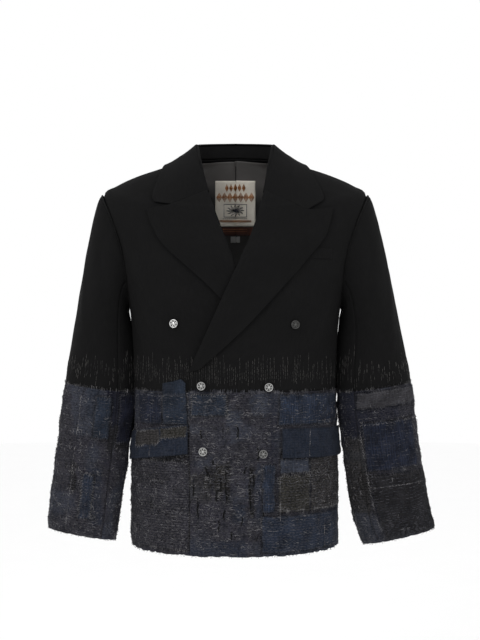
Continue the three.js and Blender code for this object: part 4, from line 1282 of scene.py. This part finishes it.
def add_lining():
    v = np.linspace(LINING_BOTTOM, NECK - 0.15, 60)
    start = 90 + armhole_width(v) + 0.3 * (90 - armhole_width(v)) / 8
    share = np.linspace(0, 1, 96)
    angle = lerp(start[:, None], 360 - start[:, None], share[None, :])
    ring = np.broadcast_to(v[:, None], angle.shape)
    form = body_form(angle, ring)
    points = inside_point(angle, ring, lining_depth(form[..., 0], form[..., 2]))
    add_sheet("back_lining", points, FORWARD, SATIN, "lining_satin", wall=THINNEST)


def label_place(x, z, lift):
    """A place on the lining's seen side."""
    angle, v = on_back(x, z)
    return inside_point(angle, v, lining_depth(np.asarray(x, float), np.asarray(z, float)) + lift)


def add_tab(name, plan, look, slot):
    half, bottom, top = plan["half"], plan["bottom"], plan["top"]
    x, z = np.meshgrid(np.linspace(-half, half, 30), np.linspace(bottom, top, 30))
    edge = np.minimum(np.minimum(x + half, half - x), np.minimum(z - bottom, top - z))
    points = label_place(x, z, 1.0 + 0.5 * smoothstep(edge, 0, 3) + 0.25 * ripple(x, z, 26, 8))
    add_sheet(name, points, FORWARD, look, slot, wall=THINNEST)


def add_label_motif():
    """A generic band of russet diamonds over a grey star of leaf shapes, in satin stitch."""
    def flat(paths):
        return [label_place(*np.array(path, float).T, 1.75) for path in paths]

    band = []
    # Each row: height, diamonds to either side of the middle one, pitch and half width
    for z, half_count, pitch, wide in ((-41, 2, 8.2, 3.0), (-59, 3, 10.4, 4.9)):
        for k in range(-half_count, half_count + 1):
            for share in (1, 0.7, 0.4, 0.12):
                across, up = share * wide, share * (wide + 3.6)
                x = pitch * k
                band.append([(x - across, z), (x, z + up), (x + across, z), (x, z - up), (x - across, z)])
    band += [[(-31, z), (31, z)] for z in (-103, -105)]
    threads("label_band", flat(band), 0.75, RUSSET, "label_ivory")
    dashes = [[(x, z), (x + 2.6, z)] for z in (-120, -124) for x in np.arange(-24, 22, 4)]
    threads("strip_dashes", flat(dashes), 0.4, RUSSET, "label_strip")
    edge = [[(x, -130.5), (x + 3, -130.5)] for x in np.arange(-26, 24, 4)]
    threads("strip_edge", flat(edge), 0.4, GREY_THREAD, "label_strip")
    pleat = label_place(np.full(14, 0.6), np.linspace(-1, -29, 14), 0.2)
    threads("pleat_shadow", [pleat], 0.6, SHADE_THREAD, "lining_satin")
    star = []
    for turn in range(12):
        a, b = math.radians(30 * turn), math.radians(30 * turn + 15)
        tip, side = (17 * math.cos(a), -84 + 11 * math.sin(a)), (10 * math.cos(b), -84 + 6.5 * math.sin(b))
        star += [[(0, -84), tip], [tip, side], [(0, -84), side]]
    star += [[(-22, z), (22, z)] for z in (-72, -96)] + [[(x, -72), (x, -96)] for x in (-22, 22)]
    star += [[(x, -99), (x + 2.4, -99)] for x in np.arange(-24, 24, 4)]
    threads("label_star", flat(star), 0.5, GREY_THREAD, "label_ivory")


for side in SIDES:
    add_lapel(side)
add_collar()
add_welt()
add_lining()
add_tab("label", LABEL, IVORY, "label_ivory")
add_tab("label_strip", LABEL_STRIP, TAPE, "label_strip")
add_tab("size_tab", SIZE_TAB, TAB, "size_tab")
add_label_motif()

# ---- Buttons

# How dark each button's metal is painted all over, 0.45 when not listed: partly dull old metal, and partly
# painted light, as the chest button on the wearer's left is painted dark as shade and the one on the
# wearer's right is left fully bright for its highlight
PAINTED_BUTTON_SHADE = {"button_chest_left": 0.92, "button_hip_outer": 0.72, "button_chest_right": 0.0}


def add_button(name, x, z, side):
    """A cast shank button: a rounded rim, a ring of petals and a boss."""
    button_shade = PAINTED_BUTTON_SHADE.get(name, 0.45)
    radius, height, shank, stand = (BUTTON[key] for key in ("radius", "height", "shank", "stand"))
    profile = [
        (0, 0), (shank, 0), (shank, stand), (0.80 * radius, stand + 0.1), (0.94 * radius, stand + 0.5),
        (radius, stand + 1.1), (0.995 * radius, height - 0.9), (0.96 * radius, height - 0.3),
        (0.91 * radius, height), (0.86 * radius, height - 0.05), (0.82 * radius, height - 0.45),
        (0.77 * radius, height - 0.6), (0.70 * radius, height - 0.55), (0.60 * radius, height - 0.5),
        (0.50 * radius, height - 0.45), (0.40 * radius, height - 0.45), (0.32 * radius, height - 0.5),
        (0.26 * radius, height - 0.3), (0.18 * radius, height - 0.1), (0.09 * radius, height), (0, height),
    ]
    bm = bmesh.new()
    spots = [bm.verts.new((r, 0, h)) for r, h in profile]
    edges = [bm.edges.new(pair) for pair in zip(spots, spots[1:])]
    bmesh.ops.spin(bm, geom=spots + edges, axis=(0, 0, 1), cent=(0, 0, 0), steps=64, angle=math.tau,
                   use_merge=True)
    bmesh.ops.remove_doubles(bm, verts=bm.verts, dist=0.001)
    bmesh.ops.recalc_face_normals(bm, faces=bm.faces)
    hollows_and_shade = []
    for vert in bm.verts:
        r = math.hypot(vert.co.x, vert.co.y) / radius
        turn = math.atan2(vert.co.y, vert.co.x)
        dull = 0.0
        if vert.co.z > height - 1 and 0.27 < r < 0.80:
            petal = 0.5 + 0.5 * math.cos(6 * turn)
            belly = math.sin(math.pi * (r - 0.27) / 0.53)
            vert.co.z += 0.75 * petal * belly
            dull = 1 - 0.9 * petal * belly
        # Dull share of each place: the dull hollows of the metal, raised all over by the button's painted
        # shade
        hollows_and_shade.append(button_shade + (1 - button_shade) * (dull if 0.2 < r < 0.84 else 0.2 * (r > 0.9)))
    angle, v = on_front(x, z)
    out = Vector(body_normal(angle, v))
    foot = front_point(side, angle, v, 4 * SEAM)
    turned = Vector((0, 0, 1)).rotation_difference(out).to_matrix().to_4x4()
    laid = Matrix.Translation(Vector(foot) * MM) @ turned @ Matrix.Scale(MM, 4)
    bmesh.ops.transform(bm, matrix=laid, verts=bm.verts)
    mesh = bpy.data.meshes.new(name + "_cast")
    bm.to_mesh(mesh)
    bm.free()
    mesh.attributes.new("wear", "FLOAT", "POINT").data.foreach_set("value", hollows_and_shade)
    mesh.materials.append(METAL)
    mesh.shade_smooth()
    own(linked(name + "_cast", mesh), "metal_button", name)


for name, (x, z, side) in BUTTONS.items():
    add_button(name, x, z, side)

# ---- Patches, and the threads that hold them


def patch_edge(seed, t):
    """How far a torn edge wanders, in millimetres."""
    return 1.1 * ripple(t, 0 * t, 16, seed) + 0.5 * ripple(t, 0 * t, 5, seed + 1)


def patch_size(name):
    """A patch's width and length in millimetres, and those of its panel's columns and rows."""
    panel, (left, right), (bottom, top), _, _ = PATCHES[name]
    column_mm, row_mm = panel_size(panel)
    return (right - left) * column_mm, (top - bottom) * row_mm, column_mm, row_mm


def from_edge(name, across, up):
    """Millimetres from a patch's nearest edge."""
    width, length = patch_size(name)[:2]
    return np.minimum(np.minimum(across, 1 - across) * width, np.minimum(up, 1 - up) * length)


def patch_spot(name, across, up):
    """Column and row at shares across and up a patch, with its torn outline."""
    _, (left, right), (bottom, top), _, _ = PATCHES[name]
    width, length, column_mm, row_mm = patch_size(name)
    seed = sum(map(ord, name))
    start = patch_edge(seed, up * length) / column_mm
    end = patch_edge(seed + 3, up * length) / column_mm
    low = patch_edge(seed + 6, across * width) / row_mm
    high = patch_edge(seed + 9, across * width) / row_mm
    return lerp(left + start, right + end, across), lerp(bottom + low, top + high, up)


def patch_place(name, across, up, lift):
    panel = PATCHES[name][0]
    return PANELS[panel][2](*patch_spot(name, across, up), lift)


def patch_lift(name, across, up):
    """A patch is sewn down along its edges and stands a little prouder inside them."""
    width, length = patch_size(name)[:2]
    side = from_edge(name, across, up)
    pucker = 0.25 * ripple(across * width, up * length, 9, len(name)) * smoothstep(side, 1, 5)
    return 1.1 + 0.75 * smoothstep(side, 0, 5) + pucker


RISING_PATCH = "patch_front_right_blue"
# The top of that patch above the join, as distances out and heights.
RISEN_TOP = ([78, 93, 126], [-411, -398, -407])


def risen(points, fade, wear):
    """More rows that take a patch up over the black cloth."""
    extra = 7
    share = (np.arange(extra)[:, None] + 1) / extra
    out = np.broadcast_to(-points[-1, :, 0], (extra, points.shape[1]))
    height = lerp(points[-1, :, 2], np.interp(-points[-1, :, 0], *RISEN_TOP), share)
    height = height + 1.2 * ripple(out, 0 * out, 9, 4) * share
    above = on_front_panel("right", out, height, 1.9 - 0.6 * share)
    tall = [np.concatenate([values, np.repeat(values[-4:-3], extra, 0)]) for values in (fade, wear)]
    return np.concatenate([points, above]), *tall


def add_patch(name):
    panel, (left, right), (bottom, top), dye, worn = PATCHES[name]
    counts = (max(6, round(size / SPACING["patch"])) for size in patch_size(name)[:2])
    across, up = (np.linspace(0, 1, count) for count in counts)
    grid = np.meshgrid(across, up)
    points = patch_place(name, *grid, patch_lift(name, *grid))
    outward = outward_of(PANELS[panel][2], (left + right) / 2, (bottom + top) / 2)
    x, z = points[..., 0] + points[..., 1], points[..., 2]
    fade = 1 + 0.25 * ripple(x, z, 40, len(name) + 5)
    frayed = 1 - smoothstep(from_edge(name, *grid), 0, 5)
    wear = np.clip(worn + 0.55 * frayed + 0.15 * ripple(x, z, 22, 12), 0, 1)
    if name == RISING_PATCH:
        points, fade, wear = risen(points, fade, wear)
    look = STRIPED if name.endswith(("striped", "navy", "strip")) else PLAIN
    if name.endswith(("hem", "olive", "charcoal", "brown")) and name != "patch_sleeve_left_charcoal":
        look = QUILTED
    dye = np.array(dye) * fade[..., None]
    add_sheet(name, points, outward, look, "patch_cloth", wall=PATCH_WALL,
              dye=dye, wear=wear)


for name in PATCHES:
    add_patch(name)

# ---- Threads: upright join stitches, running stitch, whipped patch edges and frayed yarn

CHANCE = np.random.default_rng(46)
# Over the cloth at the start, the middle and the end of a stitch
STITCH_ARCH = np.array([-0.1, 0.45, -0.1])
UPRIGHT_ARCH = np.array([-0.1, 0.4, -0.1])
UPRIGHT = np.array([0, 2.6, 5.2])  # along an upright dash
UPRIGHT_PITCH = 6.5
PALE_SHARE, DULL_SHARE = 0.48, 0.62  # of a frayed field's count


def cover(panel, columns, rows):
    """Height of the outermost patch over a panel's cloth at each place."""
    height = np.zeros(np.broadcast(columns, rows).shape)
    for name, (host, (left, right), (bottom, top), _, _) in PATCHES.items():
        if host != panel:
            continue
        across, up = (columns - left) / (right - left), (rows - bottom) / (top - bottom)
        inside = (np.abs(across - 0.5) < 0.49) & (np.abs(up - 0.5) < 0.49)
        height = np.where(inside, patch_lift(name, np.clip(across, 0, 1), np.clip(up, 0, 1)), height)
    return height


def worn_at(panel, columns, rows):
    """How worn the outermost cloth is: 1 on the ground."""
    worn = np.ones(columns.shape)
    for host, (left, right), (bottom, top), _, patch_worn in PATCHES.values():
        inside = (left < columns) & (columns < right) & (bottom < rows) & (rows < top) & (host == panel)
        worn = np.where(inside, patch_worn**1.3, worn)
    return worn


def over_cloth(panel, s, t, lifts):
    """Paths of thread from millimetres across and up a panel."""
    last_column, last_row, place = PANELS[panel]
    column_mm, row_mm = panel_size(panel)
    columns = np.clip(s / column_mm, 0.02, last_column - 0.02)
    rows = np.clip(t / row_mm, 0.02, last_row - 0.02)
    return list(place(columns, rows, cover(panel, columns, rows) + lifts))


def running_rows(panel, apart, stitch, gap, kept):
    """Rows of running stitch all over a panel."""
    last_column, last_row, _ = PANELS[panel]
    column_mm, row_mm = panel_size(panel)
    s, t = [], []
    for height in np.arange(apart, last_row * row_mm - 2, apart):
        end = last_column * column_mm - stitch - 2
        start = np.arange(2 + CHANCE.uniform(0, stitch), end, stitch + gap)
        start = start[CHANCE.random(len(start)) < kept]
        s.append(start + CHANCE.normal(0, 0.5, len(start)))
        t.append(np.full(len(start), height))
    s = np.concatenate(s)[:, None] + np.array([0, 0.5, 1]) * stitch
    t = np.concatenate(t)[:, None] + 0 * s
    t = t + 1.8 * ripple(s, t, 40, len(panel)) + CHANCE.normal(0, 0.25, s.shape)
    return over_cloth(panel, s, t, STITCH_ARCH)


def strokes(panel, row, heading, shortest, longest, apart):
    """Upright dashes of stitching that climb from the join onto the black cloth."""
    column_mm, row_mm = panel_size(panel)
    paths = []
    for s in np.arange(2, PANELS[panel][0] * column_mm - 2, apart):
        low, reach = CHANCE.uniform(1, 26), CHANCE.uniform(shortest, longest)
        lean = CHANCE.normal(0, 0.06)
        for start in np.arange(low, low + reach, UPRIGHT_PITCH):
            step = start + UPRIGHT
            across = s + CHANCE.uniform(-0.5, 0.5) + lean * step + CHANCE.normal(0, 0.1, 3)
            paths += over_cloth(panel, across[None], (row * row_mm + heading * step)[None], UPRIGHT_ARCH)
    return paths


def front_strokes(side, inner, apart):
    """The same upright dashes on a front, from its edge round to the side."""
    paths = []
    for out in np.arange(inner, 181, apart):
        out = out + CHANCE.uniform(-1, 1)
        for start in np.arange(CHANCE.uniform(-410, -392), CHANCE.uniform(-392, -354), UPRIGHT_PITCH):
            z = start + UPRIGHT
            wobble = out + CHANCE.uniform(-0.4, 0.4) + CHANCE.normal(0, 0.1, 3)
            paths.append(on_front_panel(side, wobble, z, UPRIGHT_ARCH))
    return paths


def wandering(panel, left, right, bottom, top, count, steps, reach, stand=0.5):
    """Loose broken yarn that curls over worn cloth between two columns and two rows."""
    column_mm, row_mm = panel_size(panel)
    heading = CHANCE.choice([0, math.pi / 2, math.pi], (count, 1)) + CHANCE.normal(0, 0.35, (count, 1))
    heading = heading + np.cumsum(CHANCE.normal(0, 0.55, (count, steps)), 1)
    s = CHANCE.uniform(left, right, (count, 1)) * column_mm + np.cumsum(reach * np.cos(heading), 1)
    t = CHANCE.uniform(bottom, top, (count, 1)) * row_mm + np.cumsum(reach * np.sin(heading), 1)
    lifts = 0.25 + stand * np.abs(CHANCE.normal(0, 0.8, (count, steps)))
    lifts[:, 0] = -0.4
    keep = CHANCE.random(count) < worn_at(panel, s[:, 0] / column_mm, t[:, 0] / row_mm)
    return over_cloth(panel, s[keep], t[keep], lifts[keep])


def patch_edges(name, apart):
    """How many places stand round a patch's edge, and a function that crosses it at each."""
    width, length = patch_size(name)[:2]
    wide = np.arange(1.5, width - 1, apart) / width
    long = np.arange(1.5, length - 1, apart) / length
    across = np.concatenate([wide, wide, 0 * long, 0 * long + 1])
    up = np.concatenate([0 * wide, 0 * wide + 1, long, long])
    out_s = np.concatenate([0 * wide, 0 * wide, 0 * long - 1, 0 * long + 1]) / width
    out_t = np.concatenate([0 * wide - 1, 0 * wide + 1, 0 * long, 0 * long]) / length
    places = [values[:, None] for values in (across, up, out_s, out_t)]

    def crossing(step, drift):
        """Shares across and up at steps out over the edge, with a drift along it."""
        a, u, to_side, to_end = places
        a = a + to_side * step + (to_side == 0) * drift / width
        return a, u + to_end * step + (to_end == 0) * drift / length

    return len(across), crossing


def whipped(name, apart):
    """Short stitches over a patch's edge."""
    count, crossing = patch_edges(name, apart)
    step = np.array([-2.2, 0.4, 1.1]) + CHANCE.normal(0, 0.5, (count, 1))
    across, up = crossing(step, np.linspace(-0.7, 0.7, 3))
    edge = patch_lift(name, np.clip(across, 0, 1), np.clip(up, 0, 1))
    return list(patch_place(name, across, up, edge * [1, 1, 0] + STITCH_ARCH))


def fringe(name, apart):
    """Torn yarn ends that stand out from a patch's edge."""
    count, crossing = patch_edges(name, apart)
    step = np.array([-0.8, 0.5, 1.0]) * CHANCE.uniform(1.0, 4.2, (count, 1))
    across, up = crossing(step, np.cumsum(CHANCE.normal(0, 0.7, (count, 3)), 1))
    lifts = 1.0 + np.array([-0.3, 0.1, 0.0]) + 0.5 * np.abs(CHANCE.normal(0, 0.6, (count, 3)))
    return list(patch_place(name, across, up, lifts))


def ragged_edge(panel, row, away, count, longest):
    """Yarn ends that stand off a raw edge, away from the panel in a direction in millimetres."""
    last_column, _, place = PANELS[panel]
    columns = CHANCE.uniform(0.05, last_column - 0.05, (count, 1))
    foot = place(columns, np.full((count, 1), row), CHANCE.uniform(-1.2, 0.2, (count, 1)))
    reach = CHANCE.uniform(1.5, longest, (count, 1, 1)) * np.array([-0.4, 0.4, 1.0])[None, :, None]
    sway = np.cumsum(CHANCE.normal(0, 0.55, (count, 3, 3)), 1) * [1, 0.5, 0.4]
    return list(foot + reach * np.array(away) + sway)


def line_of_stitches(panel, spots, stitch, gap, sway):
    """Stitches one after another along a line of (column, row) spots."""
    column_mm, row_mm = panel_size(panel)
    spots = np.array(spots) * [column_mm, row_mm]
    lengths = np.concatenate([[0], np.cumsum(np.linalg.norm(np.diff(spots, axis=0), axis=1))])
    start = np.arange(0, lengths[-1] - stitch, stitch + gap)[:, None]
    run = start + np.array([0, 0.5, 1]) * stitch
    s, t = np.interp(run, lengths, spots[:, 0]), np.interp(run, lengths, spots[:, 1])
    other_way = np.where(np.arange(len(start)) % 2, 1, -1)[:, None]
    turn = sway * np.linspace(-1, 1, 3) * other_way
    steep = np.abs(np.gradient(t, axis=1)) > np.abs(np.gradient(s, axis=1))
    s, t = s + turn * steep, t + turn * ~steep
    return over_cloth(panel, s, t, STITCH_ARCH)


DOWN, UP = (0, 0, -1), (0, -0.03, 1)


def thread_ground(name):
    """The stitches and the loose yarn of one piece of boro ground."""
    front = name.startswith("front") or "top_lower" in name
    rows = running_rows(name, apart=5.0, stitch=5.2, gap=2.4, kept=0.85 if front else 0.35)
    threads(name + "_running", rows, 0.30, GREY_THREAD)
    last_column, last_row, _ = PANELS[name]
    count = 320 if front else 140
    loose = wandering(name, 0.2, last_column - 0.2, 0.2, last_row - 0.1, count, steps=4, reach=2.0)
    threads(name + "_loose", loose, 0.3, PALE_THREAD)
    if name.startswith("front"):
        rows = running_rows(name, apart=7.4, stitch=6.5, gap=3.4, kept=0.4)
        threads(name + "_long_running", rows, 0.28, PALE_THREAD)
    hem_row, join_row = (0, last_row) if name.endswith("skirt") else (last_row, 0)
    threads(name + "_hem_fray", ragged_edge(name, hem_row, DOWN, 70, 1.9), 0.18, GREY_THREAD)
    threads(name + "_join_fray", ragged_edge(name, join_row, UP, 150, 5.5), 0.18, PALE_THREAD)
    if name == "front_left_skirt":
        middle = [path for path in ragged_edge(name, join_row, UP, 900, 8.5) if path[0][0] < 78]
        threads("front_middle_fray", middle, 0.3, GREY_THREAD)


for name in PANELS:
    if name.endswith(("skirt", "lower")):
        thread_ground(name)


def thread_join(name, paths):
    """Upright stitches over the join of the black cloth and the ground."""
    threads(name + "_strokes", paths, 0.24, STROKE_THREAD, "black_cloth")


for side, inner in (("left", -74), ("right", 80)):
    thread_join(f"front_{side}", front_strokes(side, inner, 3.6))
for name in PANELS:
    if name.startswith("back") and name.endswith("_top"):
        thread_join(name, strokes(name, 0, heading=1, shortest=5, longest=26, apart=4.2))
    if name.endswith("_upper"):
        thread_join(name, strokes(name, PANELS[name][1], heading=-1, shortest=4, longest=18, apart=4.2))

for name, (_, _, _, _, worn) in PATCHES.items():
    threads(name + "_whipped", whipped(name, 4.0), 0.24, PALE_THREAD if worn > 0.45 else GREY_THREAD)
    threads(name + "_fringe", fringe(name, 2.9), 0.16, PALE_THREAD if worn > 0.3 else GREY_THREAD)

# Frayed fields, where the cloth is worn down to loose yarn: panel, columns, rows and how many threads
FIELDS = [
    ("front_left_skirt", 0.1, 2.8, 0.3, 5.8, 900),
    ("front_left_skirt", 6.5, 8.7, 4.78, 5.3, 800),
    ("front_left_skirt", 5.6, 9, 1.6, 3.4, 260),
    ("front_right_skirt", 2.6, 9.6, 0.3, 4.6, 800),
    ("front_left_skirt", 0.1, 2.7, 5.0, 5.9, 160),
    ("sleeve_right_top_lower", 3.0, 8.8, 0.2, 5.9, 700),
    ("sleeve_left_top_lower", 3.6, 8.8, 0.2, 5.9, 420),
    ("sleeve_right_under_lower", 0.1, 2.2, 1.8, 5.9, 220),
    ("sleeve_left_under_lower", 0.1, 2.4, 0.4, 5.9, 320),
    ("back_left_skirt", 1, 7.5, 0.3, 5.7, 420),
    ("back_right_skirt", 1, 7.5, 0.3, 5.7, 420),
]
for k, (*spots, count) in enumerate(FIELDS):
    pale = wandering(*spots, round(PALE_SHARE * count), steps=4, reach=1.3, stand=0.8)
    threads(f"{spots[0]}_field_{k}", pale, 0.28, PALE_THREAD)
    dull = wandering(*spots, round(DULL_SHARE * count), steps=4, reach=1.7, stand=0.9)
    threads(f"{spots[0]}_dull_field_{k}", dull, 0.3, GREY_THREAD)



def tape(name, paths, radius):
    """A dark tube inside a seam, as painted shade along the seam."""
    threads(name, paths, radius, SHADE_THREAD, "black_cloth")


# Painted shade along the armholes, the back seam, the sides and the sleeve seams
turn = np.linspace(0, 360, 73)
for side in SIDES:
    tape(f"armhole_{side}_tape", [sleeve_point(side, turn, 0 * turn + 0.005, 0.9)], 1.8)
v = np.linspace(0.02, NECK - 0.02, 120)
tape("back_seam_tape", [back_point(0 * v + 180, v, -1.3)], 1.3)
v = np.linspace(0.02, ARMHOLE_LOW, 100)
for side, sign in SIDES.items():
    tape(f"side_{side}_tape", [back_point(0 * v + 90 * sign, v, -1.3)], 1.3)
w = np.linspace(0.05, CUFF - 0.02, 90)
for side in SIDES:
    seams = [sleeve_point(side, 0 * w + step * 360 / ARMHOLE_STEPS, w, 0.2) for step in SLEEVE_SEAMS]
    tape(f"sleeve_{side}_tapes", seams, 0.9)

# Torn slits in the middle of the ground, as x, bottom and top in the front view; they are drawn in
# near-black thread as the painted shade inside the openings
SLITS = [
    (-48, -566, -545), (-44, -575, -556), (-31, -608, -586), (-24, -590, -560), (-15, -612, -548),
    (-18, -640, -622), (27, -630, -550), (24, -600, -575), (33, -585, -560), (-36, -545, -536),
    (-62, -640, -600), (-70, -600, -570), (12, -650, -634), (40, -540, -512), (-58, -500, -484),
    (6, -500, -478), (48, -640, -600), (-28, -660, -640), (18, -560, -548), (-6, -676, -660),
]
SLIT_PATHS = []
for x, low, high in SLITS:
    z = np.linspace(low, high, 7)
    for shift in (-0.6, 0.7):
        wobble = x + shift + 1.3 * ripple(z, 0 * z, 14, abs(x)) + CHANCE.normal(0, 0.3, 7)
        SLIT_PATHS.append(on_front_panel("left", wobble, z, np.array([-0.6, 0, 0.1, 0.1, 0.1, 0, -0.6])))
threads("torn_slits", SLIT_PATHS, 0.75, SHADE_THREAD)

# Bold lines of stitching on each panel: spots, stitch, gap, sway and thread
LINES = {
    "front_left_skirt": [
        ([(5.5, 1.6), (5.5, 3.4)], 2.6, 0.4, 1.0, PALE_THREAD),
        ([(3.66, 1.64), (9.0, 1.62)], 3.0, 1.2, 0.6, PALE_THREAD),
        ([(3.66, 1.3), (3.66, 2.9)], 2.8, 0.8, 0.4, PALE_THREAD),
        ([(6.7, 0.2), (6.75, 1.3)], 3.4, 0.8, 0.2, PALE_THREAD),
        ([(2.75, 0.3), (2.8, 5.8)], 3.0, 1.6, 0.5, GREY_THREAD),
    ],
    "sleeve_left_top_lower": [
        ([(8.8, 1.3), (8.6, 3.4), (8.4, 5.8)], 3.0, 0.8, 1.1, PALE_THREAD),
        ([(4.4, 3.15), (8.5, 3.1)], 3.6, 1.0, 0.6, PALE_THREAD),
        ([(3.6, 1.1), (8.8, 1.15)], 3.0, 0.6, 1.2, PALE_THREAD),
    ],
    "front_right_skirt": [
        ([(3.7, 4.7), (3.75, 5.9)], 3.0, 0.9, 0.9, PALE_THREAD),
        ([(3.7, 5.93), (7.6, 5.93)], 3.4, 0.9, 0.5, PALE_THREAD),
    ],
    "flap_left": [([(2.0, 0.1), (2.1, 1.95)], 3.0, 1.0, 0.3, PALE_THREAD)],
    "flap_right": [([(3.0, 0.1), (3.05, 0.9)], 3.0, 1.0, 0.3, PALE_THREAD)],
    "sleeve_right_top_lower": [
        ([(4.9, 0.3), (5.2, 5.7)], 3.0, 1.0, 0.8, GREY_THREAD),
        ([(6.6, 0.3), (6.5, 5.7)], 3.0, 1.0, 0.8, PALE_THREAD),
    ],
}
rows = [(panel, *row) for panel, lines in LINES.items() for row in lines]
for k, (panel, spots, stitch, gap, sway, look) in enumerate(rows):
    threads(f"line_{k}", line_of_stitches(panel, spots, stitch, gap, sway), 0.42, look)

# ---- Studio, in metres

LENS = 67.6  # millimetres, on a sensor 36 mm wide
CAMERA_SPOT = (0.009, -2.2, -0.296)
FLOOR_HEIGHT = -1.42
FLOOR_RADIUS = 9.0


def add_camera():
    camera = bpy.data.cameras.new("camera")
    camera.lens = LENS
    camera.sensor_width = 36
    camera.clip_end = 50
    holder = linked("camera", camera)
    holder.location = CAMERA_SPOT
    holder.rotation_euler = (math.pi / 2, 0, 0)
    bpy.context.scene.camera = holder


def add_lamp(name, place, target, size, power):
    lamp = bpy.data.lights.new(name, "AREA")
    lamp.shape = "DISK"
    lamp.size = size
    lamp.energy = power
    holder = linked(name, lamp)
    holder.location = place
    holder.rotation_euler = (Vector(target) - Vector(place)).to_track_quat("-Z", "Y").to_euler()


def add_floor():
    bm = bmesh.new()
    bmesh.ops.create_circle(bm, cap_ends=True, segments=96, radius=FLOOR_RADIUS)
    bmesh.ops.translate(bm, vec=(0, 0, FLOOR_HEIGHT), verts=bm.verts)
    mesh = bpy.data.meshes.new("floor")
    bm.to_mesh(mesh)
    bm.free()
    material, s, principled = new_material("pale floor", 0.9, 0.1)
    grain = s.noise(s.piece_place(), 6.0, 3.0)
    finish_surface(s, principled, s.mix(grain, (0.96, 0.96, 0.96, 1), (0.98, 0.98, 0.98, 1)), grain, 0.1)
    mesh.materials.append(material)
    floor = linked("floor", mesh)


def add_world():
    world = bpy.data.worlds.new("studio")
    world.use_nodes = True
    background = world.node_tree.nodes["Background"]
    background.inputs["Color"].default_value = (1, 1, 1, 1)
    background.inputs["Strength"].default_value = 1.0
    bpy.context.scene.world = world


add_camera()
add_lamp("key", (-1.4, -2.4, 1.3), (0, 0, -0.35), 1.2, 26)
add_lamp("fill", (1.8, -2.0, 0.4), (0, 0, -0.4), 1.4, 9)
add_floor()
add_world()
bpy.context.scene.view_settings.view_transform = "Standard"
